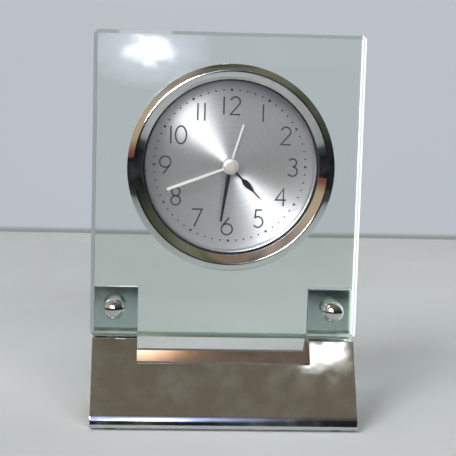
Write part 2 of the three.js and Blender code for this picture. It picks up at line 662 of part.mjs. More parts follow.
function plates() {
  const pivotHoleEnd = MAIN_PLATE_REAR + PIVOT_DEPTH + PIVOT_END_GAP;
  const pivots = [THIRD, ROTOR].map((at) =>
    rod(ARBOR_RADIUS + RUNNING, MAIN_PLATE_REAR - PAST, pivotHoleEnd, SMALL, at),
  );
  const stems = [TIME_STEM, ALARM_STEM].map((at) =>
    rod(STEM_RADIUS + RUNNING, MAIN_PLATE_REAR - PAST, pivotHoleEnd, SMALL, at),
  );
  const pillarEnd = REAR_PLATE_FRONT + SEAT;
  const pillarRoot = MAIN_PLATE_REAR + MAIN_PLATE_THICKNESS / 2;
  const pillars = pillarPlaces.map((at) => rod(PILLAR_RADIUS, pillarEnd, pillarRoot, SMALL, at));
  const threadEnd = COVER_REAR + COVER_SCREW_LENGTH + 5 * SEAT;
  const threads = pillarPlaces.map((at) =>
    rod(COVER_SCREW_RADIUS + SEAT, pillarEnd - PAST, threadEnd, SMALL, at),
  );
  const mainDisc = rod(MOVEMENT_RADIUS - 2 * SEAT, MAIN_PLATE_REAR, MAIN_PLATE_FRONT, LARGE);
  const middleRadius = ALARM_PIPE_RADIUS + RUNNING;
  const middle = rod(middleRadius, MAIN_PLATE_REAR - PAST, MAIN_PLATE_FRONT + PAST, MIDDLE);
  const main = minus(union(mainDisc, ...pillars), middle, ...pivots, ...stems, ...threads);
  add(insert, "main_plate", main, whitePlastic);

  const through = (radius, at, steps = SMALL) =>
    rod(radius, REAR_PLATE_REAR - PAST, REAR_PLATE_FRONT + PAST, steps, at);
  const studFront = layerFront(LAYERS.second) + 2 * SEAT;
  const studRoot = REAR_PLATE_FRONT - REAR_PLATE_THICKNESS / 2;
  const rear = union(
    rod(REAR_PLATE_RADIUS, REAR_PLATE_REAR, REAR_PLATE_FRONT, LARGE),
    rod(ARBOR_RADIUS, studRoot, studFront, SMALL, INTERMEDIATE),
  );
  const holes = [
    ...[CENTRE, THIRD, ROTOR].map((at) => through(ARBOR_RADIUS + RUNNING, at, MIDDLE)),
    ...[TIME_STEM, ALARM_STEM].map((at) => through(STEM_RADIUS + RUNNING, at)),
    ...pillarPlaces.map((at) => through(COVER_SCREW_RADIUS + 2 * SEAT, at)),
    through(CELL_RADIUS + CELL_CLEARANCE, new THREE.Vector2(CELL_X, CELL_Y), MIDDLE),
  ];
  add(insert, "rear_plate", minus(rear, ...holes), whitePlastic);
}

// Seven layers of wheels behind the main plate, the hands' pipes one inside the other
function gearTrain() {
  const T = TEETH;
  const arborFront = handFront(HAND_ORDER.second) - SEAT / 2;
  const plateRear = REAR_PLATE_REAR + SEAT;
  const pivotFront = MAIN_PLATE_REAR + PIVOT_DEPTH;

  const [alarmWheel, alarmPinion] = meshed(T.alarmWheel, CENTRE, T.alarmPinion, ALARM_STEM, LAYERS.alarm);
  const [hourWheel, motionPinion] = meshed(T.hourWheel, CENTRE, T.motionPinion, TIME_STEM, LAYERS.hour);
  const [motionWheel, cannonPinion] = meshed(
    T.motionWheel,
    TIME_STEM,
    T.cannonPinion,
    CENTRE,
    LAYERS.motion,
  );
  const [centreWheel, thirdPinion] = meshed(T.centreWheel, CENTRE, T.thirdPinion, THIRD, LAYERS.centre);
  const [thirdWheel, secondPinion] = meshed(T.thirdWheel, THIRD, T.secondPinion, CENTRE, LAYERS.third);
  const [secondWheel, betweenPinion] = meshed(
    T.secondWheel,
    CENTRE,
    T.intermediatePinion,
    INTERMEDIATE,
    LAYERS.second,
  );
  const [betweenWheel, rotorPinion] = meshed(
    T.intermediateWheel,
    INTERMEDIATE,
    T.rotorPinion,
    ROTOR,
    LAYERS.intermediate,
  );

  // A wheel on a pipe that carries its hand
  const piped = (wheel, rear, place, bore, radius) =>
    minus(
      union(wheel, rod(radius, rear, handFront(place) - SEAT / 2, MIDDLE)),
      rod(bore, rear - PAST, handFront(place) + PAST, MIDDLE),
    );
  const alarmBore = HOUR_PIPE_RADIUS + RUNNING;
  const alarmRear = layerRear(LAYERS.alarm);
  const alarm = piped(alarmWheel, alarmRear, HAND_ORDER.alarm, alarmBore, ALARM_PIPE_RADIUS);
  add(insert, "alarm_wheel", alarm, whitePlastic);
  const hourBore = CANNON_RADIUS + RUNNING;
  const hour = piped(hourWheel, layerRear(LAYERS.hour), HAND_ORDER.hour, hourBore, HOUR_PIPE_RADIUS);
  add(insert, "hour_wheel", hour, whitePlastic);
  const cannonRear = layerRear(LAYERS.centre) - 2 * SEAT;
  const cannonBore = ARBOR_RADIUS + RUNNING;
  const cannon = piped(cannonPinion, cannonRear, HAND_ORDER.minute, cannonBore, CANNON_RADIUS);
  add(insert, "cannon_pinion", cannon, brass);

  const clutchRear = layerRear(LAYERS.centre) - PAST;
  const clutchFront = layerFront(LAYERS.centre) + PAST;
  const clutchHole = rod(CANNON_RADIUS + SEAT / 2, clutchRear, clutchFront, MIDDLE);
  add(insert, "centre_wheel", minus(centreWheel, clutchHole), whitePlastic);

  const third = union(thirdWheel, thirdPinion, rod(ARBOR_RADIUS, plateRear, pivotFront, SMALL, THIRD));
  add(insert, "third_wheel", third, whitePlastic);

  const second = union(secondWheel, secondPinion, rod(ARBOR_RADIUS, plateRear, arborFront, MIDDLE));
  add(insert, "second_wheel", second, whitePlastic);

  const betweenRear = layerRear(LAYERS.intermediate);
  const betweenFront = layerFront(LAYERS.second);
  const between = minus(
    union(
      betweenWheel,
      betweenPinion,
      rod(2 * ARBOR_RADIUS, betweenRear, betweenFront, SMALL, INTERMEDIATE),
    ),
    rod(ARBOR_RADIUS + RUNNING, betweenRear - PAST, betweenFront + PAST, SMALL, INTERMEDIATE),
  );
  add(insert, "intermediate_wheel", between, whitePlastic);

  const rotor = union(
    rotorPinion,
    rod(ROTOR_MAGNET_RADIUS, ROTOR_MAGNET_REAR, ROTOR_MAGNET_FRONT, MIDDLE, ROTOR),
    rod(ARBOR_RADIUS, plateRear, pivotFront, SMALL, ROTOR),
  );
  add(insert, "rotor", rotor, steel);

  // The setting stems run from the main plate through the cover to their knobs
  const stemRear = COVER_REAR - KNOB_LENGTH / 2;
  const stem = (at) => rod(STEM_RADIUS, stemRear, pivotFront, SMALL, at);
  add(insert, "motion_wheel", union(motionWheel, motionPinion, stem(TIME_STEM)), whitePlastic);
  add(insert, "alarm_stem", union(alarmPinion, stem(ALARM_STEM)), whitePlastic);
  knob("time_knob", TIME_STEM, stemRear);
  knob("alarm_knob", ALARM_STEM, stemRear);
}

function knob(name, at, stemRear) {
  const front = COVER_REAR - 3 * SEAT;
  const ribs = [];
  const low = KNOB_RADIUS - KNOB_RIB_DEPTH;
  for (let i = 0; i < KNOB_RIBS; i++) {
    const radii = [KNOB_RADIUS, KNOB_RADIUS, low, low];
    radii.forEach((radius, corner) => {
      const angle = (2 * Math.PI * (i + corner / radii.length)) / KNOB_RIBS;
      ribs.push([at.x + radius * Math.cos(angle), at.y + radius * Math.sin(angle)]);
    });
  }
  const grip = plate(outline(ribs), front - KNOB_LENGTH, front);
  const socket = rod(STEM_RADIUS + SEAT / 2, stemRear - SEAT, front + PAST, SMALL, at);
  add(insert, name, minus(grip, socket), blackPlastic);
}

// Stepping motor: a stator plate round the rotor, a core across its legs and the coil on the core
function motor() {
  const left = ROTOR.x + STATOR_SHIFT - STATOR_WIDTH / 2;
  const right = left + STATOR_WIDTH;
  const top = ROTOR.y + STATOR_BAR / 2;
  const bottom = top - STATOR_HEIGHT;
  const barBottom = top - STATOR_BAR;
  const magnetMiddle = (ROTOR_MAGNET_REAR + ROTOR_MAGNET_FRONT) / 2;
  const front = magnetMiddle + STATOR_THICKNESS / 2;
  const rear = front - STATOR_THICKNESS;
  const shape = outline([
    [left, bottom],
    [left + STATOR_LEG, bottom],
    [left + STATOR_LEG, barBottom],
    [right - STATOR_LEG, barBottom],
    [right - STATOR_LEG, bottom],
    [right, bottom],
    [right, top],
    [left, top],
  ]);
  const openingRadius = ROTOR_MAGNET_RADIUS + ROTOR_AIR_GAP;
  const opening = rod(openingRadius, rear - PAST, front + PAST, MIDDLE, ROTOR);
  add(insert, "stator", minus(plate(shape, rear, front), opening), steel);

  const coreY = bottom + CORE_ABOVE_LEG_END;
  const coreRear = front + SEAT;
  const coreFront = coreRear + CORE_THICKNESS;
  const core = block(left, right, coreY - CORE_WIDTH / 2, coreY + CORE_WIDTH / 2, coreRear, coreFront);
  add(insert, "coil_core", core, steel);

  const length = STATOR_WIDTH - 2 * STATOR_LEG - 4 * SEAT;
  const winding = tube(COIL_BORE_RADIUS, COIL_RADIUS, -length / 2, length / 2, MIDDLE);
  const coilPlace = ALONG_X.clone().setPosition((left + right) / 2, coreY, (coreRear + coreFront) / 2);
  add(insert, "coil", placed(winding, coilPlace), copper);
}

function circuit() {
  const rear = REAR_PLATE_FRONT + 2 * SEAT;
  const front = rear + BOARD_THICKNESS;
  const half = BOARD_WIDTH / 2;
  const low = BOARD_Y - BOARD_HEIGHT / 2;
  const high = BOARD_Y + BOARD_HEIGHT / 2;
  add(insert, "circuit_board", block(-half, half, low, high, rear, front), board);
  const can = rod(CRYSTAL_RADIUS, -CRYSTAL_LENGTH / 2, CRYSTAL_LENGTH / 2, MIDDLE);
  const canPlace = ALONG_X.clone().setPosition(-half / 2, BOARD_Y, front + SEAT + CRYSTAL_RADIUS);
  add(insert, "quartz_crystal", placed(can, canPlace), steel);
  const chipAt = new THREE.Vector2(half / 2, BOARD_Y);
  const chipRear = front + SEAT;
  const chip = turned(
    [
      [0, chipRear],
      [CHIP_RADIUS, chipRear],
      [CHIP_RADIUS * CHIP_DOME_SHARE, chipRear + CHIP_HEIGHT * CHIP_DOME_SHARE],
      [0, chipRear + CHIP_HEIGHT],
    ],
    MIDDLE,
    chipAt,
  );
  add(insert, "clock_chip", chip, blackPlastic);
  const buzzerRear = COVER_FRONT + SEAT;
  const buzzerAt = new THREE.Vector2(0, BUZZER_Y);
  const buzzer = rod(BUZZER_RADIUS, buzzerRear, buzzerRear + BUZZER_THICKNESS, MIDDLE, buzzerAt);
  add(insert, "buzzer_disc", buzzer, brass);
}

function battery() {
  const at = new THREE.Vector2(CELL_X, CELL_Y);
  const cellRear = COVER_FRONT + SEAT;
  const cellFront = cellRear + CELL_HEIGHT;
  const cell = turned(
    [
      [0, cellRear],
      [CELL_RADIUS, cellRear],
      [CELL_RADIUS, cellFront - CELL_SHOULDER],
      [CELL_RADIUS - CELL_SHOULDER, cellFront],
      [0, cellFront],
    ],
    MIDDLE,
    at,
  );
  add(insert, "button_cell", cell, steel);

  // A leaf over the cell's front, with its tail bent back to the circuit board
  const t = CONTACT_THICKNESS;
  const leafRear = cellFront + SEAT;
  const tailY = BOARD_Y - BOARD_HEIGHT / 2 + CONTACT_TAIL_INSET;
  const tailEnd = REAR_PLATE_FRONT + BOARD_THICKNESS + 3 * SEAT;
  const start = CELL_Y - CELL_RADIUS / 2;
  const strip = outline([
    [start, leafRear],
    [tailY, leafRear],
    [tailY, tailEnd],
    [tailY + t, tailEnd],
    [tailY + t, leafRear + t],
    [start, leafRear + t],
  ]);
  const leaf = drawnAlongX(strip, CELL_X - CONTACT_WIDTH / 2, CELL_X + CONTACT_WIDTH / 2);
  add(insert, "contact_minus", leaf, brass);

  // A springy arc against the cell's side
  const inner = CELL_RADIUS + SEAT;
  const arc = new THREE.Shape();
  const from = degrees(CONTACT_ARC_FROM);
  const to = degrees(CONTACT_ARC_TO);
  arc.absarc(CELL_X, CELL_Y, inner + t, from, to, false);
  arc.absarc(CELL_X, CELL_Y, inner, to, from, true);
  const arcFront = cellFront - CELL_SHOULDER - SEAT;
  add(insert, "contact_plus", plate(arc, REAR_PLATE_FRONT + SEAT, arcFront, 10), brass);
}

// The cover closes the housing. The battery door slides down in a groove with a tongue on each side.
function rearCover() {
  const tongueRear = COVER_REAR + DOOR_OUTER_THICKNESS;
  const tongueFront = tongueRear + DOOR_TONGUE_THICKNESS;
  const doorTop = CELL_Y + DOOR_LENGTH / 2;
  const doorBottom = CELL_Y - DOOR_LENGTH / 2;
  const half = DOOR_WIDTH / 2;
  const wide = half + DOOR_TONGUE;
  const g = DOOR_GAP;
  const past = 2 * HOUSING_RADIUS;
  const spigotFront = COVER_FRONT + COVER_SPIGOT_LENGTH;
  const through = (radius, at, steps = SMALL) =>
    rod(radius, COVER_REAR - PAST, spigotFront + PAST, steps, at);
  const slotHalf = (SWITCH_WIDTH + SWITCH_TRAVEL) / 2 + g;
  const slotX = SWITCH_X + SWITCH_TRAVEL / 2;
  const slotHigh = SWITCH_HEIGHT / 2 + g;
  const headSeat = COVER_REAR + COVER_SCREW_HEAD_HEIGHT + SEAT;
  const soundPlaces = [new THREE.Vector2(0, BUZZER_Y)];
  for (let i = 0; i < SOUND_HOLES; i++) {
    const place = polar(SOUND_HOLE_CIRCLE_RADIUS, (360 * i) / SOUND_HOLES);
    soundPlaces.push(place.add(soundPlaces[0]));
  }
  const disc = rod(HOUSING_RADIUS, COVER_REAR, COVER_FRONT, LARGE);
  const spigotOuter = MOVEMENT_RADIUS - 2 * SEAT;
  const spigotInner = spigotOuter - COVER_SPIGOT_WALL;
  const spigot = tube(spigotInner, spigotOuter, COVER_FRONT - SEAT, spigotFront, LARGE);
  const cover = minus(
    union(disc, spigot),
    block(CELL_X - half - g, CELL_X + half + g, -past, doorTop + g, COVER_REAR - PAST, tongueRear + SEAT),
    block(CELL_X - wide - g, CELL_X + wide + g, -past, doorTop + g, tongueRear - g, tongueFront + g),
    through(CELL_RADIUS + CELL_CLEARANCE, new THREE.Vector2(CELL_X, CELL_Y), MIDDLE),
    block(
      slotX - slotHalf,
      slotX + slotHalf,
      SWITCH_Y - slotHigh,
      SWITCH_Y + slotHigh,
      COVER_REAR - PAST,
      COVER_FRONT + PAST,
    ),
    ...[TIME_STEM, ALARM_STEM].map((at) => through(STEM_RADIUS + RUNNING, at)),
    ...pillarPlaces.map((at) => through(COVER_SCREW_RADIUS + 2 * SEAT, at)),
    ...pillarPlaces.map((at) =>
      rod(COVER_SCREW_HEAD_RADIUS + 2 * SEAT, COVER_REAR - PAST, headSeat, MIDDLE, at),
    ),
    ...soundPlaces.map((at) => through(SOUND_HOLE_RADIUS, at)),
  );
  add(insert, "rear_cover", cover, blackPlastic);

  const door = union(
    block(CELL_X - half, CELL_X + half, doorBottom, doorTop, COVER_REAR, tongueFront),
    block(CELL_X - wide, CELL_X + wide, doorBottom, doorTop, tongueRear, tongueFront),
    ...Array.from({ length: DOOR_RIBS }, (_, i) => {
      const y = doorBottom + DOOR_RIB_START + DOOR_RIB_PITCH * i;
      const [left, right] = [CELL_X - half / 2, CELL_X + half / 2];
      return block(left, right, y, y + DOOR_RIB_WIDTH, COVER_REAR - DOOR_RIB_HEIGHT, tongueRear);
    }),
  );
  add(insert, "battery_door", door, blackPlastic);

  const footRear = COVER_FRONT + SEAT;
  const footFront = footRear + SWITCH_FOOT_THICKNESS;
  const switchHalf = SWITCH_WIDTH / 2;
  const tall = SWITCH_HEIGHT / 2;
  const footHalf = SWITCH_FOOT_WIDTH / 2;
  const footTall = SWITCH_FOOT_HEIGHT / 2;
  const slider = union(
    block(
      SWITCH_X - switchHalf,
      SWITCH_X + switchHalf,
      SWITCH_Y - tall,
      SWITCH_Y + tall,
      COVER_REAR - SWITCH_STAND,
      footFront,
    ),
    block(
      SWITCH_X - footHalf,
      SWITCH_X + footHalf,
      SWITCH_Y - footTall,
      SWITCH_Y + footTall,
      footRear,
      footFront,
    ),
  );
  add(insert, "alarm_switch", slider, whitePlastic);

  pillarPlaces.forEach((at, i) => {
    const head = rod(COVER_SCREW_HEAD_RADIUS, COVER_REAR, headSeat - SEAT, MIDDLE, at);
    const shank = rod(COVER_SCREW_RADIUS, COVER_REAR, COVER_REAR + COVER_SCREW_LENGTH, SMALL, at);
    add(insert, `cover_screw_${i + 1}`, union(head, shank), steel);
  });
}

add(object, "base_shell", baseShell(), chrome);
add(object, "glass_panel", glassPanel(), clearGlass);
glassFixing("left", -SCREW_X);
glassFixing("right", SCREW_X);
feet();
clockCase();
hands();
plates();
gearTrain();
motor();
circuit();
battery();
rearCover();

export default object;
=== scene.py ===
import json
from math import atan2, cos, pi, radians, sin, tan

import bmesh
import bpy
from mathutils import Matrix, Vector


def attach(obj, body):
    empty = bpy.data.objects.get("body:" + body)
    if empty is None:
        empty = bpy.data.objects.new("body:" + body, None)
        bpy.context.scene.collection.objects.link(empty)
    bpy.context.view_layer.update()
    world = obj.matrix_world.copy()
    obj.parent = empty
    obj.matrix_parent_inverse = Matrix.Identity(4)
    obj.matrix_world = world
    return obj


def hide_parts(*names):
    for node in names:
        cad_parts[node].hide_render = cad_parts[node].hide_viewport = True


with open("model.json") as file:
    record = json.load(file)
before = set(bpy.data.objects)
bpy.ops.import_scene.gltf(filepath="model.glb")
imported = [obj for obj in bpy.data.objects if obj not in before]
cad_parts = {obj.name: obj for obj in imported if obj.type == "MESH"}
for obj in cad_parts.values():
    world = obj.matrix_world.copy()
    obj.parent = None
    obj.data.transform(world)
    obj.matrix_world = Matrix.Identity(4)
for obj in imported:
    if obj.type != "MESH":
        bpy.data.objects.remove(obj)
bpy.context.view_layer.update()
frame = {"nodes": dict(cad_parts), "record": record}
nodes = frame["nodes"]

MM = 0.001

# Base profile
BASE_HALF_WIDTH = 45
BASE_BOTTOM = 0.8
BASE_WALL = 2.2
RIDGE = 28
LEDGE_Y = -8
# Where the apron starts to roll in, and its foot, with the radii of the roll and of the turn under it
NOSE_TOP, NOSE_FOOT = (-24.758, 4.538), (-25.317, BASE_BOTTOM)
NOSE_ROLL, NOSE_TUCK = 5.2, 1.35
REAR_Y = 25.1
REAR_TOE = 2.0
LUG_FRONT_Y, LUG_REAR_Y, LUG_TOP = -0.5, 2.5, 45.1
SLOT_HALF, SLOT_BOTTOM = 29.5, 20.7
FLANGE = 12
FOOT_X, FOOT_Y = 38, 19.1

# Glass and its fixings
GLASS_HALF, CHAMFER = 45.75, 1.2
GLASS_FRONT, GLASS_REAR = -7.5, -1.5
GLASS_LOW, GLASS_HIGH = RIDGE + 0.3, RIDGE + 104.6
SCREW_X, SCREW_Z = 37.6, 38.1
SCREW_BORE, BUSH_BORE = 2.05, 3.0

# Insert: heights are from the glass's front face outwards, towards the viewer
INSERT_X, INSERT_Z, INSERT_BORE = 1, 87.4, 31.5
DIAL_FACE = -5.7
INK_LOW, INK_HIGH = DIAL_FACE - 0.02, DIAL_FACE + 0.04
DOT_CIRCLE, STROKE_HALF = 25.9, 0.28
HAND_FRONTS = {"second": -1.95, "minute": -2.85, "hour": -3.75, "alarm": -4.65}
HUB_RADIUS, HUB_DEPTH, BLADE_DEPTH = 2.7, 0.6, 0.25


def linear(hex_colour):
    """An sRGB hex colour as linear RGBA."""
    channels = [int(hex_colour[i : i + 2], 16) / 255 for i in (1, 3, 5)]
    return [c / 12.92 if c <= 0.04045 else ((c + 0.055) / 1.055) ** 2.4 for c in channels] + [1]


def put(tree, kind, inputs=None, stops=None, **settings):
    """Adds a node with its settings, its values and its links."""
    made = tree.nodes.new(kind)
    for name, value in settings.items():
        setattr(made, name, value)
    for key, value in (inputs or {}).items():
        if isinstance(value, bpy.types.NodeSocket):
            tree.links.new(value, made.inputs[key])
        else:
            made.inputs[key].default_value = linear(value) if isinstance(value, str) else value
    for i, (place, tone) in enumerate(stops or []):
        elements = made.color_ramp.elements
        stop = elements[i] if i < len(elements) else elements.new(place)
        stop.position = place
        stop.color = linear(tone)
    return made


def blank(name):
    """A new material with an empty tree."""
    made = bpy.data.materials.new(name)
    made.use_nodes = True
    made.node_tree.nodes.clear()
    return made, made.node_tree


def millimetres(tree):
    """Object coordinates in millimetres."""
    place = put(tree, "ShaderNodeTexCoord").outputs["Object"]
    return put(
        tree, "ShaderNodeVectorMath", {0: place, "Scale": 1 / MM}, operation="SCALE"
    ).outputs["Vector"]


def drifting(tree, place, scale, detail, darker, tone):
    """A colour that drifts slowly between two tones."""
    drift = put(tree, "ShaderNodeTexNoise", {"Vector": place, "Scale": scale, "Detail": detail})
    stops = [(0.3, darker), (0.7, tone)]
    return put(tree, "ShaderNodeValToRGB", {"Fac": drift.outputs["Fac"]}, stops=stops).outputs["Color"]


def plain_finish(name, tone, darker, roughness, grain, metallic=0.0, bump=0.02, **sockets):
    """A finish with a slow drift of tone and roughness and a fine grain, its size in millimetres."""
    made, tree = blank(name)
    place = millimetres(tree)
    fine = put(tree, "ShaderNodeTexNoise", {"Vector": place, "Scale": 1 / grain, "Detail": 2})
    drift = 0.03  # how far the grain moves the roughness either way
    rough = put(
        tree,
        "ShaderNodeMapRange",
        {"Value": fine.outputs["Fac"], "To Min": roughness - drift, "To Max": roughness + drift},
    )
    relief = put(
        tree, "ShaderNodeBump", {"Height": fine.outputs["Fac"], "Strength": 0.6, "Distance": bump * MM}
    )
    surface = put(
        tree,
        "ShaderNodeBsdfPrincipled",
        {
            "Base Color": drifting(tree, place, 0.12, 3, darker, tone),
            "Roughness": rough.outputs["Result"],
            "Normal": relief.outputs["Normal"],
            "Metallic": metallic,
            **sockets,
        },
    )
    put(tree, "ShaderNodeOutputMaterial", {"Surface": surface.outputs[0]})
    return made


def polished_chrome():
    """Chrome plate over polished steel: mirrors the room sharply, with faint waves from buffing and a
    few hazy smears where it was handled."""
    made, tree = blank("polished_chrome_plate")
    place = millimetres(tree)
    waves = put(tree, "ShaderNodeTexNoise", {"Vector": place, "Scale": 0.09, "Detail": 2})
    smears = put(tree, "ShaderNodeTexNoise", {"Vector": place, "Scale": 0.1, "Detail": 6, "Roughness": 0.6})
    haze = put(
        tree,
        "ShaderNodeMapRange",
        {"Value": smears.outputs["Fac"], "From Min": 0.4, "From Max": 0.7, "To Min": 0.04, "To Max": 0.11},
    )
    film = put(
        tree,
        "ShaderNodeMapRange",
        {"Value": smears.outputs["Fac"], "From Min": 0.45, "From Max": 0.75, "To Min": 1.0, "To Max": 0.94},
    )
    relief = put(
        tree, "ShaderNodeBump", {"Height": waves.outputs["Fac"], "Strength": 0.5, "Distance": 0.06 * MM}
    )
    surface = put(
        tree,
        "ShaderNodeBsdfPrincipled",
        {
            "Base Color": "#eef0ee",
            "Metallic": film.outputs["Result"],
            "Roughness": haze.outputs["Result"],
            "Normal": relief.outputs["Normal"],
        },
    )
    put(tree, "ShaderNodeOutputMaterial", {"Surface": surface.outputs[0]})
    return made


def float_glass(name, frost, tone="#a9b6bd"):
    """Clear float glass: colourless face on, green where the light runs far through it. Light passes it
    without a dark shadow. Frost makes the ground chamfers milky and gives them a painted glow, faint all
    round and strongest at the outer half of the right edge."""
    made, tree = blank(name)
    place = millimetres(tree)
    marks = put(tree, "ShaderNodeTexNoise", {"Vector": place, "Scale": 0.05, "Detail": 2})
    wipe = put(
        tree,
        "ShaderNodeMapRange",
        {"Value": marks.outputs["Fac"], "From Min": 0.4, "From Max": 0.8, "To Min": 0.0, "To Max": 0.02},
    )
    surface = put(
        tree,
        "ShaderNodeBsdfPrincipled",
        {
            "Base Color": "#fbfefc",
            "Roughness": wipe.outputs["Result"],
            "IOR": 1.52,
            "Transmission Weight": 1.0,
        },
    )
    path = put(tree, "ShaderNodeLightPath")
    through = put(tree, "ShaderNodeBsdfTransparent", {"Color": "#e9f3ee"})
    outwards = put(
        tree, "ShaderNodeVectorMath", {0: place, 1: (1, 1, 0)}, operation="DOT_PRODUCT"
    ).outputs["Value"]
    corner = GLASS_HALF + GLASS_FRONT
    # Painted glow: emission on the milky chamfers, rising towards the outer half of the right edge
    glow = put(
        tree,
        "ShaderNodeMapRange",
        {
            "Value": outwards,
            "From Min": corner - CHAMFER * 0.35,
            "From Max": corner - CHAMFER * 0.05,
            "To Min": 0.25,
            "To Max": 0.75,
        },
    )
    milky = put(
        tree,
        "ShaderNodeBsdfPrincipled",
        {
            "Base Color": tone,
            "Roughness": 0.8,
            "Emission Color": "#f4f8f4",
            "Emission Strength": glow.outputs["Result"],
        },
    )
    ground = put(
        tree, "ShaderNodeMixShader", {"Fac": frost, 1: surface.outputs[0], 2: milky.outputs[0]}
    )
    mixed = put(
        tree,
        "ShaderNodeMixShader",
        {"Fac": path.outputs["Is Shadow Ray"], 1: ground.outputs[0], 2: through.outputs[0]},
    )
    tint = put(tree, "ShaderNodeVolumeAbsorption", {"Color": "#a8dcc0", "Density": 22.0})
    put(tree, "ShaderNodeOutputMaterial", {"Surface": mixed.outputs[0], "Volume": tint.outputs[0]})
    return made


def clear_lens():
    """Thin clear acrylic: hardly seen, with a faint reflection that grows towards the edge. Only the outer
    side of each face mirrors, so the dial stays in sight from above."""
    made, tree = blank("clear_acrylic_lens")
    place = millimetres(tree)
    marks = put(tree, "ShaderNodeTexNoise", {"Vector": place, "Scale": 0.2, "Detail": 3})
    soft = put(tree, "ShaderNodeMapRange", {"Value": marks.outputs["Fac"], "To Min": 0.02, "To Max": 0.08})
    edge = put(tree, "ShaderNodeFresnel", {"IOR": 1.3})
    side = put(tree, "ShaderNodeNewGeometry")
    mirrored = put(
        tree,
        "ShaderNodeMapRange",
        {"Value": side.outputs["Backfacing"], "To Min": edge.outputs["Fac"], "To Max": 0.0},
    )
    gloss = put(tree, "ShaderNodeBsdfGlossy", {"Color": "#ffffff", "Roughness": soft.outputs["Result"]})
    through = put(tree, "ShaderNodeBsdfTransparent", {"Color": "#fbfcfb"})
    mixed = put(
        tree,
        "ShaderNodeMixShader",
        {"Fac": mirrored.outputs["Result"], 1: through.outputs[0], 2: gloss.outputs[0]},
    )
    put(tree, "ShaderNodeOutputMaterial", {"Surface": mixed.outputs[0]})
    return made


def spun_dial():
    """Spun aluminium under clear lacquer: fine rings round the centre draw the light out into two pale
    fans, and leave the dial grey between them."""
    made, tree = blank("spun_aluminium_dial")
    place = millimetres(tree)
    centre = put(
        tree, "ShaderNodeVectorMath", {0: place, 1: (INSERT_X, 0, INSERT_Z)}, operation="SUBTRACT"
    ).outputs["Vector"]
    flat = put(
        tree, "ShaderNodeVectorMath", {0: centre, 1: (1, 0, 1)}, operation="MULTIPLY"
    ).outputs["Vector"]
    radius = put(tree, "ShaderNodeVectorMath", {0: flat}, operation="LENGTH").outputs["Value"]
    ring = put(tree, "ShaderNodeCombineXYZ", {"X": radius})
    grooves = put(tree, "ShaderNodeTexNoise", {"Vector": ring.outputs[0], "Scale": 2.2, "Detail": 4})
    rough = put(tree, "ShaderNodeMapRange", {"Value": grooves.outputs["Fac"], "To Min": 0.38, "To Max": 0.5})
    hue = put(
        tree,
        "ShaderNodeValToRGB",
        {"Fac": grooves.outputs["Fac"]},
        stops=[(0.3, "#bdbdc3"), (0.7, "#d2d2d6")],
    )
    surface = put(
        tree,
        "ShaderNodeBsdfPrincipled",
        {
            "Base Color": hue.outputs["Color"],
            "Metallic": 0.5,
            "Roughness": rough.outputs["Result"],
            "Anisotropic": 1.0,
            "Tangent": flat,
        },
    )
    put(tree, "ShaderNodeOutputMaterial", {"Surface": surface.outputs[0]})
    return made


chrome = polished_chrome()
glass = float_glass("clear_float_glass", 0.0)
# The plate's ground chamfers: milky; those facing right painted white as painted light, those facing down
# painted grey-green as painted shade
ground_glass = float_glass("fine_ground_glass_edge", 0.5)
painted_light_glass = float_glass("fine_ground_glass_edge_painted_light", 0.85, "#ffffff")
painted_shade_glass = float_glass("fine_ground_glass_edge_painted_shade", 0.35, "#8b9a93")
lens_acrylic = clear_lens()
spun = spun_dial()
# Thin satin lacquer on brass hands: dark blue with a soft shine
navy = plain_finish("navy_lacquer_on_hands", "#1d2036", "#14172a", 0.4, 0.4)
# Thin satin lacquer, just off white
white = plain_finish("white_lacquer_on_hands", "#ffffff", "#f7f7f6", 0.4, 0.4)
# Satin nickel cap under warm lacquer: pale, a shade warmer than the hands
satin_cap = plain_finish("satin_nickel_cap", "#e8e0dc", "#d3cac6", 0.35, 0.3, metallic=0.4)
# Grey printing ink: flat, a little uneven where the film is thin
ink = plain_finish("grey_dial_ink", "#4a4b55", "#3d3e48", 0.6, 0.25)
# Moulded ABS, spark eroded mould: fine matt grain
black = plain_finish("black_abs_moulding", "#1e1e20", "#171719", 0.55, 0.35, bump=0.03)
# The cover's mould is more worn, so it looks a shade paler
cover_black = plain_finish("black_abs_cover", "#2b2b2e", "#242427", 0.5, 0.4, bump=0.04)
# Knobs: the same ABS from a polished mould, a dull shine
knob_black = plain_finish("black_abs_knobs", "#1a1a1c", "#151517", 0.32, 0.3, bump=0.01)
# Moulded acetal: milky white, slightly waxy
acetal = plain_finish("white_acetal_moulding", "#e6e4dd", "#dcdad2", 0.42, 0.5)
# Moulded rubber: near black and dull, with a fine roughness
rubber = plain_finish("black_rubber", "#1b1b1c", "#141415", 0.8, 0.3, bump=0.05)
# Silicone pad, clear enough to leave the lug behind it in sight
silicone = plain_finish(
    "clear_silicone_pad", "#f2f5f3", "#e8ecea", 0.12, 0.5, **{"Transmission Weight": 0.95, "IOR": 1.41}
)
# Clear nylon bush, milky through its wall
nylon = plain_finish("clear_nylon_bush", "#dfe6e2", "#d3dbd7", 0.3, 0.5, **{"Transmission Weight": 0.6})
# Aluminium ring between dial and lens, turned and anodised: satin silver
satin = plain_finish("satin_aluminium_ring", "#d3d4d8", "#c8c9cd", 0.3, 0.3, metallic=1.0)
# Inside the hollow the plating is given a warmer, darker tone: painted shade and a painted warm reflection
# in the recess
hollow_painted_plate = plain_finish("painted_shade_plating_inside_base", "#d9c1b1", "#c2a897", 0.3, 0.5, metallic=1.0)
# The slot's cut floor and sides: a dull, dark plating
milled = plain_finish("dull_plating_on_milled_cut", "#6e6861", "#5c5650", 0.35, 0.3, metallic=1.0)
# Nickel plate on turned steel: grey, with a soft shine
steel = plain_finish("nickel_plated_steel", "#b4b6b8", "#a2a4a7", 0.27, 0.3, metallic=1.0)
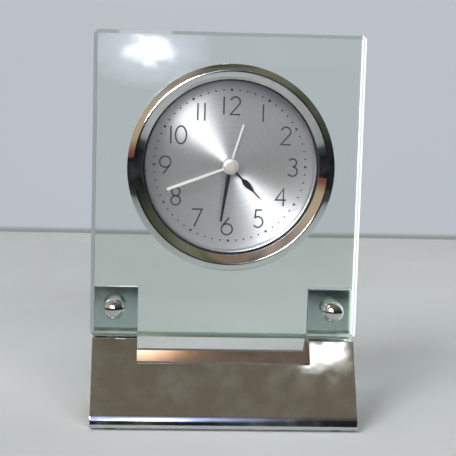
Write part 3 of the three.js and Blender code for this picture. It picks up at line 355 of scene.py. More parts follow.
# Stamped sheet brass: yellow, with the rolled sheet's soft shine
brass = plain_finish("stamped_brass", "#c9a95f", "#b8964f", 0.3, 0.3, metallic=1.0)
# Enamelled copper wire: a red-brown shine, broken by a fine relief as its close turns break it
copper = plain_finish("enamelled_copper_wire", "#b0623a", "#96502e", 0.35, 0.12, metallic=1.0, bump=0.1)
# Glass fibre laminate under green lacquer: satin, a little mottled
laminate = plain_finish("green_circuit_laminate", "#2f5d3d", "#274f34", 0.5, 0.4)

FINISHES = {
    "chrome": chrome,
    "clear_glass": glass,
    "lens": lens_acrylic,
    "spun_aluminium": spun,
    "navy_paint": navy,
    "white_paint": white,
    "black_plastic": black,
    "white_plastic": acetal,
    "rubber": rubber,
    "steel": steel,
    "brass": brass,
    "copper": copper,
    "board": laminate,
}
slot_of = {part["node"]: part["material_slot"] for part in frame["record"]["subparts"]}
for name, node in nodes.items():
    node.data.materials.clear()
    node.data.materials.append(FINISHES[slot_of[name]])


def shaded(piece, name, finish, body="clock_frame", stands_for=(), sharp=35):
    """Names, paints and shades a piece, and lets it ride. An eased piece keeps its own shading."""
    piece.name = piece.data.name = name
    piece.data.materials.clear()
    piece.data.materials.append(finish)
    if sharp:
        piece.data.polygons.foreach_set("use_smooth", [True] * len(piece.data.polygons))
        piece.data.set_sharp_from_angle(angle=radians(sharp))
    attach(piece, body)
    if stands_for:
        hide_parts(*stands_for)


def from_bmesh(mesh, scale=MM):
    """A bmesh in millimetres as an object in metres."""
    bmesh.ops.scale(mesh, vec=(scale,) * 3, verts=mesh.verts)
    data = bpy.data.meshes.new("piece")
    mesh.to_mesh(data)
    mesh.free()
    piece = bpy.data.objects.new("piece", data)
    bpy.context.collection.objects.link(piece)
    return piece


def baked(piece):
    """The piece with its modifiers turned into plain mesh."""
    bpy.context.view_layer.update()
    evaluated = piece.evaluated_get(bpy.context.evaluated_depsgraph_get())
    data = bpy.data.meshes.new_from_object(evaluated)
    piece.modifiers.clear()
    piece.data = data
    return piece


def rounded(corners, step):
    """Corners [x, y, radius] of a closed outline as points, each corner an arc with a point about every
    step degrees."""
    points = []
    for i, (x, y, radius) in enumerate(corners):
        here = Vector((x, y))
        back = (Vector(corners[i - 1][:2]) - here).normalized()
        ahead = (Vector(corners[(i + 1) % len(corners)][:2]) - here).normalized()
        half = back.angle(ahead) / 2
        nearly_straight = half > pi / 2 - 0.02
        if radius <= 0 or nearly_straight:
            points.append(here)
            continue
        middle = here + (back + ahead).normalized() * (radius / sin(half))
        start = here + back * (radius / tan(half)) - middle
        sweep = pi - 2 * half
        turn = 1 if back.x * ahead.y - back.y * ahead.x < 0 else -1
        steps = max(2, round(sweep / radians(step)))
        for n in range(steps + 1):
            points.append(middle + Matrix.Rotation(turn * sweep * n / steps, 2) @ start)
    return points


def extruded(corners, along):
    """A flat outline drawn out along a vector, in millimetres."""
    mesh = bmesh.new()
    face = mesh.faces.new([mesh.verts.new(c) for c in corners])
    out = bmesh.ops.extrude_face_region(mesh, geom=[face])
    moved = [v for v in out["geom"] if isinstance(v, bmesh.types.BMVert)]
    bmesh.ops.translate(mesh, vec=along, verts=moved)
    bmesh.ops.recalc_face_normals(mesh, faces=mesh.faces)
    return from_bmesh(mesh)


def drawn(points, x0, x1):
    """A closed outline in the (y, z) plane drawn along x."""
    return extruded([(x0, y, z) for y, z in points], (x1 - x0, 0, 0))


def combined(piece, operation, *others):
    """Takes the others out of the piece, DIFFERENCE, or joins them to it, UNION."""
    for other in others:
        step = piece.modifiers.new("combined", "BOOLEAN")
        step.object = other
        step.operation = operation
        step.solver = "EXACT"
    baked(piece)
    for other in others:
        bpy.data.objects.remove(other)


def eased(piece, width, segments=2, angle=30):
    """Edges sharper than the angle get a small round."""
    piece.data.polygons.foreach_set("use_smooth", [True] * len(piece.data.polygons))
    step = piece.modifiers.new("eased", "BEVEL")
    step.width = width * MM
    step.segments = segments
    step.limit_method = "ANGLE"
    step.angle_limit = radians(angle)
    step.miter_outer = "MITER_ARC"
    weighed = piece.modifiers.new("weighed", "WEIGHTED_NORMAL")
    weighed.weight = 100
    return baked(piece)


def turned(profile, origin, towards=(0, -1, 0), steps=96):
    """A closed profile of [radius, height] points turned round an axis from the origin, in millimetres."""
    spin = Vector((0, 0, 1)).rotation_difference(Vector(towards)).to_matrix()
    mesh = bmesh.new()
    rings = []
    for radius, height in profile:
        count = 1 if radius == 0 else steps
        ring = []
        for n in range(count):
            angle = 2 * pi * n / steps
            local = Vector((radius * cos(angle), radius * sin(angle), height))
            ring.append(mesh.verts.new(Vector(origin) + spin @ local))
        rings.append(ring)
    has_bore = profile[0][0] > 0
    for low, high in zip(rings, rings[1:] + rings[:1] if has_bore else rings[1:]):
        for n in range(steps):
            after = (n + 1) % steps
            loop = [low[n % len(low)], low[after % len(low)]]
            loop += [high[after % len(high)], high[n % len(high)]]
            corners = list(dict.fromkeys(loop))
            if len(corners) > 2:
                mesh.faces.new(corners)
    bmesh.ops.recalc_face_normals(mesh, faces=mesh.faces)
    return from_bmesh(mesh)


def eased_ring(bore, radius, low, high, across=0.1):
    """The profile of a ring whose two outer edges are eased."""
    along = 0.1
    rim = [(radius - across, low), (radius, low + along), (radius, high - along), (radius - across, high)]
    return [(bore, low), *rim, (bore, high)]


def drill(piece, x, y, z, radius, steps):
    """Drills a hole along y right through the piece, at the point x, y, z."""
    reach = 9
    bit = turned([(0, -reach), (radius, -reach), (radius, reach), (0, reach)], (x, y, z), steps=steps)
    combined(piece, "DIFFERENCE", bit)


def finer(node, width):
    """A merged copy of a CAD node with its edges eased."""
    piece = nodes[node].copy()
    piece.data = nodes[node].data.copy()
    piece.parent = None
    for key in list(piece.keys()):
        del piece[key]
    bpy.context.collection.objects.link(piece)
    mesh = bmesh.new()
    mesh.from_mesh(piece.data)
    bmesh.ops.remove_doubles(mesh, verts=mesh.verts, dist=0.002 * MM)
    bmesh.ops.dissolve_limit(
        mesh, angle_limit=radians(1), verts=mesh.verts, edges=mesh.edges, delimit={"NORMAL"}
    )
    mesh.to_mesh(piece.data)
    mesh.free()
    return eased(piece, width)


def lying(x, y, z):
    """A point of the insert, seen from the front, as a place in the shared frame in millimetres."""
    return Vector((INSERT_X + x, GLASS_FRONT - z, INSERT_Z + y))


# Camera, fitted to 23 points of the photograph
CAMERA_AT = Vector((-28.31, -487.03, 137.14)) * MM
YAW, PITCH, ROLL = radians(3.449), radians(8.343), radians(1.567)
FOCAL_PIXELS, PHOTO_PIXELS, SENSOR = 1427.4, 456, 36
forward = Vector((sin(YAW) * cos(PITCH), cos(YAW) * cos(PITCH), -sin(PITCH)))
level = Vector((cos(YAW), -sin(YAW), 0))
rising = level.cross(forward)
right = level * cos(ROLL) + rising * sin(ROLL)
up = rising * cos(ROLL) - level * sin(ROLL)
optics = bpy.data.cameras.new("camera")
optics.sensor_width = SENSOR
optics.lens = FOCAL_PIXELS / PHOTO_PIXELS * SENSOR
optics.clip_start, optics.clip_end = 0.01, 20
camera = bpy.data.objects.new("camera", optics)
bpy.context.collection.objects.link(camera)
camera.matrix_world = Matrix.Translation(CAMERA_AT) @ Matrix((right, up, -forward)).transposed().to_4x4()
bpy.context.scene.camera = camera
bpy.context.scene.view_settings.view_transform = "Standard"


def pale_floor():
    """Pale matt laminate. What polished metal sees of it falls off into the dim room in front."""
    made, tree = blank("pale_table_laminate")
    place = millimetres(tree)
    hue = drifting(tree, place, 0.01, 3, "#c8cfd1", "#d0d6d9")
    back = put(tree, "ShaderNodeSeparateXYZ", {"Vector": place}).outputs["Y"]
    rearward = put(tree, "ShaderNodeMapRange", {"Value": back, "From Min": -80.0, "From Max": 120.0})
    evened = put(
        tree,
        "ShaderNodeMix",
        {"Factor": rearward.outputs["Result"], 6: "#f2f2f2", 7: "#ffffff"},
        data_type="RGBA",
    )
    tone = put(
        tree,
        "ShaderNodeMix",
        {"Factor": 1.0, 6: hue, 7: evened.outputs[2]},
        data_type="RGBA",
        blend_type="MULTIPLY",
    )
    matt = put(tree, "ShaderNodeBsdfDiffuse", {"Color": tone.outputs[2], "Roughness": 0.6})
    reach = put(tree, "ShaderNodeVectorMath", {0: place}, operation="LENGTH").outputs["Value"]
    span = put(tree, "ShaderNodeMapRange", {"Value": reach, "From Min": 120.0, "From Max": 320.0})
    dim = put(
        tree,
        "ShaderNodeValToRGB",
        {"Fac": span.outputs["Result"]},
        stops=[
            (0.0, "#000000"),
            (0.28, "#6c6c6c"),
            (0.4, "#969696"),
            (0.5, "#cccccc"),
            (0.57, "#f4f4f4"),
            (1.0, "#ffffff"),
        ],
    )
    depth = put(tree, "ShaderNodeLightPath").outputs["Glossy Depth"]
    mirrored = put(tree, "ShaderNodeMath", {0: depth, 1: 0.5}, operation="GREATER_THAN")
    share = put(
        tree, "ShaderNodeMath", {0: dim.outputs["Color"], 1: mirrored.outputs[0]}, operation="MULTIPLY"
    )
    far = put(tree, "ShaderNodeMapRange", {"Value": reach, "From Min": 190.0, "From Max": 225.0})
    darkness = put(
        tree,
        "ShaderNodeMix",
        {"Factor": far.outputs["Result"], 6: "#30342f", 7: "#15171c"},
        data_type="RGBA",
    )
    dark = put(tree, "ShaderNodeEmission", {"Color": darkness.outputs[2]})
    mixed = put(
        tree, "ShaderNodeMixShader", {"Fac": share.outputs[0], 1: matt.outputs[0], 2: dark.outputs[0]}
    )
    put(tree, "ShaderNodeOutputMaterial", {"Surface": mixed.outputs[0]})
    return made


def pale_wall():
    """Painted wall: its colour is what the camera, metal and glass see. From behind it isn't there."""
    made, tree = blank("painted_wall")
    place = millimetres(tree)
    paint = drifting(tree, place, 0.004, 2, "#b8bcc3", "#bfc4cb")
    rise = put(tree, "ShaderNodeSeparateXYZ", {"Vector": place}).outputs["Z"]
    # Its lowest few millimetres are darker: painted shade where the wall meets the floor
    foot = put(tree, "ShaderNodeMapRange", {"Value": rise, "From Min": 1.5, "From Max": 4.0})
    hue = put(
        tree,
        "ShaderNodeMix",
        {"Factor": foot.outputs["Result"], 6: "#8e9594", 7: paint},
        data_type="RGBA",
    ).outputs[2]
    path = put(tree, "ShaderNodeLightPath").outputs
    seen = path["Is Camera Ray"]
    for kind in ("Is Glossy Ray", "Is Transmission Ray"):
        seen = put(tree, "ShaderNodeMath", {0: seen, 1: path[kind]}, operation="MAXIMUM").outputs[0]
    matt = put(tree, "ShaderNodeBsdfDiffuse", {"Color": hue})
    glow = put(tree, "ShaderNodeEmission", {"Color": hue})
    mixed = put(tree, "ShaderNodeMixShader", {"Fac": seen, 1: matt.outputs[0], 2: glow.outputs[0]})
    open_behind = put(
        tree,
        "ShaderNodeMixShader",
        {
            "Fac": put(tree, "ShaderNodeNewGeometry").outputs["Backfacing"],
            1: mixed.outputs[0],
            2: put(tree, "ShaderNodeBsdfTransparent").outputs[0],
        },
    )
    put(tree, "ShaderNodeOutputMaterial", {"Surface": open_behind.outputs[0]})
    return made


def sheet_at(name, corners, finish):
    """A flat stage sheet through four corners, in metres."""
    mesh = bmesh.new()
    mesh.faces.new([mesh.verts.new(c) for c in corners])
    piece = from_bmesh(mesh, 1)
    piece.name = piece.data.name = name
    piece.data.materials.append(finish)


STAGE, WALL_Y = 4, 0.413
back_left, back_right = (-STAGE, WALL_Y, 0), (STAGE, WALL_Y, 0)
sheet_at("floor", [(-STAGE, -STAGE, 0), (STAGE, -STAGE, 0), back_right, back_left], pale_floor())
sheet_at("wall", [back_left, back_right, (STAGE, WALL_Y, STAGE), (-STAGE, WALL_Y, STAGE)], pale_wall())

# What the room shows in three directions, from straight down, 0, by eye level, 0.5, to overhead, 1
ROOM_TONES = {
    "front": [
        (0.0, "#9aa09e"),
        (0.49, "#1c1f20"),
        (0.7, "#24262a"),
        (0.75, "#4b474a"),
        (0.85, "#565048"),
        (0.89, "#6a6356"),
        (0.923, "#6a6356"),
        (0.932, "#4c4a38"),
        (0.945, "#4c4a38"),
        (0.96, "#806d5c"),
        (0.98, "#806d5c"),
        (1.0, "#6b5a42"),
    ],
    "left": [
        (0.0, "#9aa09e"),
        (0.4, "#16181a"),
        (0.46, "#543630"),
        (0.52, "#7f5546"),
        (0.58, "#b19b80"),
        (0.7, "#b8a48c"),
        (0.8, "#a39485"),
        (0.86, "#8a776c"),
        (0.92, "#a8968e"),
    ],
    "right": [
        (0.0, "#9aa09e"),
        (0.49, "#16181a"),
        (0.56, "#1d231d"),
        (0.7, "#454b3c"),
        (0.8, "#4e5342"),
        (0.9, "#6c6b59"),
    ],
}


def room():
    """The dim room that polished metal mirrors: tan to the upper left, a brown ceiling, dark greens to
    the right and black at eye level. The camera, through the glass too, sees pale grey in its place, and
    mirrored rays that turn in the glass see a middle grey."""
    world = bpy.data.worlds.new("room")
    world.use_nodes = True
    tree = world.node_tree
    tree.nodes.clear()
    towards = put(tree, "ShaderNodeTexCoord").outputs["Generated"]
    axis = put(tree, "ShaderNodeSeparateXYZ", {"Vector": towards}).outputs
    height = put(
        tree, "ShaderNodeMapRange", {"Value": axis["Z"], "From Min": -1.0, "From Max": 1.0}
    ).outputs["Result"]
    tones = {
        name: put(tree, "ShaderNodeValToRGB", {"Fac": height}, stops=stops).outputs["Color"]
        for name, stops in ROOM_TONES.items()
    }
    leftward, rightward = (
        put(
            tree,
            "ShaderNodeMapRange",
            {"Value": axis["X"], "From Min": 0.15 * side, "From Max": 0.5 * side},
            interpolation_type="SMOOTHSTEP",
        ).outputs["Result"]
        for side in (-1, 1)
    )
    path = put(tree, "ShaderNodeLightPath").outputs
    straight, mirrored = (
        put(tree, "ShaderNodeMath", {0: path["Glossy Depth"], 1: 0.5}, operation=test).outputs[0]
        for test in ("LESS_THAN", "GREATER_THAN")
    )
    through = put(
        tree, "ShaderNodeMath", {0: path["Is Transmission Ray"], 1: straight}, operation="MULTIPLY"
    )
    looked_at = put(
        tree, "ShaderNodeMath", {0: path["Is Camera Ray"], 1: through.outputs[0]}, operation="MAXIMUM"
    )
    inside_glass = put(
        tree, "ShaderNodeMath", {0: path["Transmission Depth"], 1: 1.5}, operation="GREATER_THAN"
    )
    caught = put(
        tree, "ShaderNodeMath", {0: inside_glass.outputs[0], 1: mirrored}, operation="MULTIPLY"
    )
    seen = tones["front"]
    for share, tone in (
        (leftward, tones["left"]),
        (rightward, tones["right"]),
        (looked_at.outputs[0], "#bcc1c8"),
        (caught.outputs[0], "#8d9096"),
    ):
        mixed = put(tree, "ShaderNodeMix", {"Factor": share, 6: seen, 7: tone}, data_type="RGBA")
        seen = mixed.outputs[2]
    light = put(tree, "ShaderNodeBackground", {"Color": seen})
    put(tree, "ShaderNodeOutputWorld", {"Surface": light.outputs[0]})
    bpy.context.scene.world = world


room()


def softbox(name, at, aim, width, height, watts):
    """A soft white rectangular lamp, in metres and watts."""
    light = bpy.data.lights.new(name, "AREA")
    light.shape = "RECTANGLE"
    light.size, light.size_y = width, height
    light.energy = watts
    lamp = bpy.data.objects.new(name, light)
    bpy.context.collection.objects.link(lamp)
    lamp.location = at
    lamp.rotation_euler = (Vector(aim) - Vector(at)).to_track_quat("-Z", "Y").to_euler()
    return lamp


def faded(lamp, stops, uneven=0.0):
    """Lets a lamp fade from the middle, 0, to its edge, 1, along the stops, ragged where uneven."""
    lamp.data.use_nodes = True
    tree = lamp.data.node_tree
    tree.nodes.clear()
    across = put(tree, "ShaderNodeNewGeometry").outputs["Parametric"]
    offset = put(tree, "ShaderNodeVectorMath", {0: across, 1: (0.5, 0.5, 0)}, operation="SUBTRACT")
    reach = put(tree, "ShaderNodeVectorMath", {0: offset.outputs[0]}, operation="LENGTH")
    cloud = put(tree, "ShaderNodeTexNoise", {"Vector": across, "Scale": 8.0, "Detail": 5}).outputs["Fac"]
    ragged = put(
        tree,
        "ShaderNodeMapRange",
        {"Value": cloud, "From Min": 0.3, "From Max": 0.7, "To Min": -uneven, "To Max": uneven},
    )
    place = put(
        tree,
        "ShaderNodeMath",
        {0: reach.outputs["Value"], 1: 2.0, 2: ragged.outputs["Result"]},
        operation="MULTIPLY_ADD",
    )
    fade = put(tree, "ShaderNodeValToRGB", {"Fac": place.outputs[0]}, stops=stops)
    glow = put(tree, "ShaderNodeEmission", {"Color": fade.outputs["Color"]})
    put(tree, "ShaderNodeOutputLight", {"Surface": glow.outputs[0]})


# The point near the clock's middle that most lamps aim at
CLOCK = (0, 0, 0.06)
# Soft studio light from the left, the right and above, which polished metal and glass don't mirror
key = softbox("key", (-0.7, -0.95, 1.05), CLOCK, 0.6, 0.5, 11)
fill = softbox("fill", (0.3, -1.65, 0.6), CLOCK, 1.2, 1.0, 15)
top = softbox("top", (0.0, 0.1, 1.1), CLOCK, 1.2, 1.0, 1.5)
for lamp in (key, fill, top):
    lamp.visible_glossy = lamp.visible_transmission = False
# The long window that polished metal and the dial's rings mirror
window = softbox("window", (-0.5, -1.03, 0.6), (0, 0, 0.087), 0.66, 0.42, 23)
# The lamp that the apron mirrors under the right lug
apron_lamp = softbox("shade", (0.098, -0.274, 0.442), (0.0345, -0.0108, 0.024), 0.029, 0.012, 0.003)
# The small bright lamp that the glass mirrors at its upper left
glare = softbox("glare", (-0.026, -0.49, 0.1155), (-0.026, 0, 0.1155), 0.084, 0.055, 0.36)
faded(
    glare,
    [
        (0.0, "#ffffff"),
        (0.26, "#cacacc"),
        (0.34, "#a2a2a8"),
        (0.44, "#74747c"),
        (0.6, "#5c5e66"),
        (0.8, "#484a52"),
        (1.0, "#000000"),
    ],
    uneven=0.1,
)
# The pale window in front that the nose and the screw heads mirror
front_window = softbox("front_window", (-0.015, -0.996, 0.44), (-0.015, -0.025, 0.004), 0.3, 0.8, 3.4)
faded(
    front_window,
    [(0.0, "#ffffff"), (0.1, "#dfe1ee"), (0.22, "#8288a6"), (0.5, "#4c5270"), (1.0, "#10121a")],
)
# Lights behind the clock, high to the left and the right: glints on the heads and the bezel's rim
behind_left = softbox("behind_left", (-0.29, 0.33, 0.39), CLOCK, 0.14, 0.14, 0.25)
behind_right = softbox("behind_right", (0.19, 0.27, 0.52), CLOCK, 0.14, 0.14, 0.25)
# A strip overhead that draws a line along the ledge's edge
overhead = softbox("overhead", (-0.035, 0.04, 1.02), (-0.03, -0.008, 0.028), 0.05, 0.2, 0.22)
# Light that comes in at the left end of the hollow
inlet = softbox("inlet", (-0.029, 0.004, 0.001), (-0.029, 0.004, 1), 0.05, 0.02, 0.014)
faded(inlet, [(0.0, "#ffffff"), (0.3, "#fff4e8"), (0.6, "#8a7866"), (1.0, "#000000")])
for lamp in (window, apron_lamp, glare, front_window, behind_left, behind_right, overhead, inlet):
    lamp.visible_diffuse = lamp.visible_transmission = lamp.visible_camera = False


def base_shell():
    """The base: one polished profile along the clock's width, hollow below, with a slot milled through
    between the lugs."""
    outer = rounded(
        [
            (*NOSE_TOP, NOSE_ROLL),
            (*NOSE_FOOT, NOSE_TUCK),
            (REAR_Y, BASE_BOTTOM, 0.3),
            (REAR_Y, REAR_TOE, 0.3),
            (LUG_REAR_Y, RIDGE, 0),
            (LUG_REAR_Y, LUG_TOP, 0.4),
            (LUG_FRONT_Y, LUG_TOP, 0.4),
            (LUG_FRONT_Y, RIDGE, 0),
            (LEDGE_Y, RIDGE, 0.7),
        ],
        step=5,
    )
    piece = drawn(outer, -BASE_HALF_WIDTH, BASE_HALF_WIDTH)

    def inside(a, b, z):
        """Where the wall's inner face, behind the line from a to b, stands at height z."""
        along = (Vector(b) - Vector(a)).normalized()
        inward = Vector((-along.y, along.x))
        if inward.x * a[0] > 0:
            inward = -inward
        start = Vector(a) + inward * BASE_WALL
        return start.x + along.x / along.y * (z - start.y)

    low, high = BASE_BOTTOM + BASE_WALL, RIDGE - BASE_WALL
    front = (LEDGE_Y, RIDGE), NOSE_TOP
    rear = (LUG_REAR_Y, RIDGE), (REAR_Y, REAR_TOE)
    fillet = 0.8
    hollow = rounded(
        [
            (inside(*front, low), low, fillet),
            (inside(*rear, low), low, fillet),
            (inside(*rear, high), high, fillet),
            (inside(*front, high), high, fillet),
        ],
        step=15,
    )
    over, under = 60, -5  # past the base at its sides and top, and past its underside
    inner = REAR_Y - FLANGE
    gap = [(-inner, under), (inner, under), (inner, low + 0.5), (-inner, low + 0.5)]
    slot = [(-over, SLOT_BOTTOM), (over, SLOT_BOTTOM), (over, over), (-over, over)]
    combined(
        piece,
        "DIFFERENCE",
        drawn(hollow, -over, over),
        drawn(gap, -over, over),
        drawn(slot, -SLOT_HALF, SLOT_HALF),
    )
    for side in (-1, 1):
        drill(piece, side * SCREW_X, (LUG_FRONT_Y + LUG_REAR_Y) / 2, SCREW_Z, SCREW_BORE, 32)
    eased(piece, width=0.22, segments=3, angle=25)
    shaded(piece, "polished_base", chrome, stands_for=["base_shell"], sharp=None)
    hollow_painted_finish, cut_finish = 1, 2  # places of the next two in the piece's list of materials
    for finish in (hollow_painted_plate, milled):
        piece.data.materials.append(finish)
    slack = 0.3
    for face in piece.data.polygons:
        middle = face.center / MM
        lengthwise = abs(face.normal.x) < 0.5 and abs(middle.x) < BASE_HALF_WIDTH - 1
        at_height = low - slack < middle.z < high + slack
        within = inside(*front, middle.z) - slack < middle.y < inside(*rear, middle.z) + slack
        # Faces inside the hollow take the painted warm shade
        if lengthwise and at_height and within:
            face.material_index = hollow_painted_finish
        floor_of_slot = face.normal.z > 0.95 and abs(middle.z - SLOT_BOTTOM) < 0.1
        side_of_slot = abs(face.normal.x) > 0.95 and abs(abs(middle.x) - SLOT_HALF) < 0.1
        if floor_of_slot or side_of_slot:
            face.material_index = cut_finish


base_shell()


def edged_glass():
    """The glass plate: its edges ground to a narrow chamfer and polished, three holes drilled."""
    foot = [(GLASS_FRONT, GLASS_LOW), (GLASS_REAR, GLASS_LOW)]
    head = [(GLASS_REAR, GLASS_HIGH), (GLASS_FRONT, GLASS_HIGH)]
    piece = drawn(foot + head, -GLASS_HALF, GLASS_HALF)
    step = piece.modifiers.new("chamfer", "BEVEL")
    step.width = CHAMFER * MM
    step.segments = 1
    baked(piece)
    for x, z, radius, steps in [
        (INSERT_X, INSERT_Z, INSERT_BORE, 160),
        (-SCREW_X, SCREW_Z, BUSH_BORE, 48),
        (SCREW_X, SCREW_Z, BUSH_BORE, 48),
    ]:
        drill(piece, x, (GLASS_FRONT + GLASS_REAR) / 2, z, radius, steps)
    shaded(piece, "edged_glass", glass, stands_for=["glass_panel"], sharp=20)
    ground, painted_lit, painted_shade = 1, 2, 3  # places of the next three in the piece's list of materials
    for finish in (ground_glass, painted_light_glass, painted_shade_glass):
        piece.data.materials.append(finish)
    # Chamfers facing right take the painted light, those facing down the painted shade
    for face in piece.data.polygons:
        chamfered = 0.3 < abs(face.normal.y) < 0.95
        if chamfered:
            beside = painted_lit if face.normal.x > 0.5 else ground
            face.material_index = painted_shade if face.normal.z < -0.5 else beside


edged_glass()


def glass_fixing(side, x):
    """A dome headed screw with its bush through the glass, its pad, and the nut behind its lug."""
    seat, head_radius, head_height, arcs = 0.1, 3.7, 3.0, 14
    ball = (head_radius**2 + head_height**2) / (2 * head_height)
    opened = atan2(head_radius, ball - head_height)
    angles = [opened * (1 - i / arcs) for i in range(arcs)]
    dome = [(ball * sin(a), seat + head_height - ball + ball * cos(a)) for a in angles]
    shank = [(0, -14.2), (1.5, -14.2), (1.9, -13.8), (1.9, seat)]
    at = (x, GLASS_FRONT, SCREW_Z)
    screw = turned([*shank, (head_radius - 0.15, seat), *dome, (0, seat + head_height)], at)
    shaded(screw, f"dome_head_{side}", chrome, stands_for=[f"dome_screw_{side}"], sharp=50)
    bush = turned(eased_ring(SCREW_BORE, 2.85, -5.9, -0.1, across=0.05), at)
    shaded(bush, f"nylon_bush_{side}", nylon, stands_for=[f"glass_sleeve_{side}"])
    pad = turned(eased_ring(SCREW_BORE, 3.5, -6.9, -6.1), at)
    shaded(pad, f"silicone_pad_{side}", silicone, stands_for=[f"glass_pad_{side}"])
    # The polished lug doesn't mirror them, which would double each head through the glass
    for piece in (screw, bush, pad):
        piece.visible_glossy = False
    nut = finer(f"lug_nut_{side}", 0.25)
    shaded(nut, f"hexagon_nut_{side}", steel, stands_for=[f"lug_nut_{side}"], sharp=None)


glass_fixing("left", -SCREW_X)
glass_fixing("right", SCREW_X)

# Feet: soft rubber buttons, a little domed where they stand
foot_profile = [(0, 0.75), (3.5, 0.75), (3.5, 0.25), (3.35, 0.08), (3.0, 0), (0, 0)]
for end_name, foot_y in [("front", -FOOT_Y), ("rear", FOOT_Y)]:
    for side, foot_x in [("left", -FOOT_X), ("right", FOOT_X)]:
        foot = turned(foot_profile, (foot_x, foot_y, 0), towards=(0, 0, 1), steps=48)
        node = f"foot_{end_name}_{side}"
        shaded(foot, f"rubber_{node}", rubber, stands_for=[node], sharp=60)


def insert_turned(profile, name, finish, node, steps, body="clock_frame", sharp=35):
    """A profile of [radius, height] turned round the insert's axis; height is from the glass outwards."""
    piece = turned(profile, (INSERT_X, GLASS_FRONT, INSERT_Z), steps=steps)
    shaded(piece, name, finish, body, [node] if node else [], sharp)


# Bezel: an outer bevel, a thin bright crest, and a wider inner bevel down to the lens
bezel_profile = rounded(
    [
        (29.75, 0.5, 0.1),
        (30.4, 0.5, 0),
        (30.4, -2.5, 0),
        (31.2, -2.5, 0),
        (31.2, 0.1, 0),
        (35.0, 0.1, 0.15),
        (35.0, 2.9, 0.3),
        (32.9, 4.15, 0.4),
        (32.35, 4.15, 0.3),
        (29.75, 1.97, 0.15),
    ],
    step=10,
)
insert_turned(bezel_profile, "turned_bezel", chrome, "bezel", 192)
lens_profile = [(0, -0.85), (30.05, -0.85), (30.2, -0.7), (30.2, 0.25), (30.05, 0.4), (0, 0.4)]
insert_turned(lens_profile, "lens_disc", lens_acrylic, "lens", 128)
dial_profile = [(2.4, -6.1), (29.2, -6.1), (29.2, -5.75), (29.15, DIAL_FACE), (2.4, DIAL_FACE)]
insert_turned(dial_profile, "spun_dial", spun, "dial", 160)
flange_profile = [(28.85, -5.65), (29.25, -5.65), (29.25, -1.0), (29.1, -0.95), (28.95, -1.0)]
insert_turned(flange_profile, "silver_flange", satin, None, 160)
gasket_profile = eased_ring(30.4, 31.4, -6.0, -2.7)
insert_turned(gasket_profile, "rubber_gasket", rubber, "gasket", 128)
inner_wall = [(29.3, -0.95), (29.3, -6.2), (28.3, -6.2), (28.3, -19.5)]
outer_wall = [(30.0, -19.5), (30.3, -19.2), (30.3, -1.05), (30.2, -0.95)]
insert_turned(inner_wall + outer_wall, "moulded_housing", black, "housing", 128)


def hand(name, half_outline, clock_angle, bore, finish, body):
    """A hand: a stamped brass strip halfway down its hub, both with their edges eased."""
    front = HAND_FRONTS[name]
    rear = front - (HUB_DEPTH + BLADE_DEPTH) / 2
    turn = Matrix.Rotation(-radians(clock_angle), 2)
    outline = [Vector(p) for p in half_outline] + [Vector((-x, y)) for x, y in reversed(half_outline)]
    blade = extruded([lying(*(turn @ p), rear) for p in outline], (0, -BLADE_DEPTH, 0))
    hub = turned(eased_ring(bore, HUB_RADIUS, front - HUB_DEPTH, front), lying(0, 0, 0), steps=64)
    combined(blade, "UNION", hub)
    eased(blade, width=0.05, angle=40)
    shaded(blade, f"{name}_hand_strip", finish, body, [f"{name}_hand"], sharp=None)


def teardrop(length):
    """Half outline of the hour hand: a thin stem, a drop a little past its middle, and a thin tip."""
    stem, tip, drop = 0.33, 0.2, 0.78
    root, widest = 3, 7.9
    points = [(0.42, 2.2)]
    for i in range(41):
        y = root + (length - root) * i / 40
        base = stem + (tip - stem) * (y - root) / (length - root)
        reach = 1.9 if y < widest else 3.9
        rise = max(0.0, 1 - abs((y - widest) / reach) ** 1.6) ** 1.3
        points.append((base + drop * rise, y))
    return points


# Each hand's half outline from root to tip, its angle clockwise from 12, and its bore on its own pipe
second_outline = [(0.36, 0.6), (0.36, 2), (0.52, 22.6), (0.36, 22.9)]
minute_outline = [(0.75, 1.2), (0.73, 3), (0.3, 19.2)]
alarm_outline = [(0.34, 2.3), (0.34, 14.8)]
hand("second", second_outline, 249.2, 0.45, white, "second_body")
hand("minute", minute_outline, 188.3, 0.95, navy, "minute_body")
hand("hour", teardrop(14.8), 136.3, 1.55, navy, "hour_body")
hand("alarm", alarm_outline, 16.9, 2.15, white, "alarm_body")
cap_profile = [(0, -1.85), (2.35, -1.85), (2.45, -1.75), (2.45, -1.55), (2.3, -1.44), (1.2, -1.4), (0, -1.4)]
insert_turned(
    cap_profile, "pressed_cap", satin_cap, "centre_cap", 64, body="second_body", sharp=60
)


def arc(x, y, wide, tall, start, end):
    """Points along an ellipse between two angles in degrees."""
    steps = max(8, round(abs(end - start) / 9))
    turns = [radians(start + (end - start) * i / steps) for i in range(steps + 1)]
    return [(x + wide * cos(a), y + tall * sin(a)) for a in turns]


# Numerals: light upright strokes of printed ink, each a path in millimetres round its figure's middle
TALL = 3.0  # half a figure's height, at the middle of its stroke
FIGURES = {
    "0": [arc(0, 0, 1.85, TALL, 90, 450)],
    "1": [[(0, TALL), (0, -TALL)]],
    "2": [arc(0, 1.4, 1.6, 1.6, 165, -38) + [(-1.65, -TALL), (1.7, -TALL)]],
    "3": [arc(-0.1, 1.65, 1.35, 1.35, 150, -90), arc(-0.1, -1.35, 1.65, 1.65, 90, -150)],
    "4": [[(0.8, -TALL), (0.8, TALL), (-1.9, -0.9), (1.8, -0.9)]],
    "5": [[(1.2, TALL), (-0.9, TALL), (-1.15, 0.35)] + arc(-0.15, -1.15, 1.7, 1.85, 126, -142)],
    "6": [[(0.7, TALL)] + arc(0, -1.1, 1.9, 1.9, 144, 504)],
    "7": [[(-1.8, TALL), (1.75, TALL), (-0.9, -TALL)]],
    "8": [arc(0, 1.6, 1.4, 1.4, 90, 450), arc(0, -1.4, 1.6, 1.6, 90, 450)],
    "9": [[(-0.7, -TALL)] + arc(0, 1.1, 1.9, 1.9, -36, 324)],
}
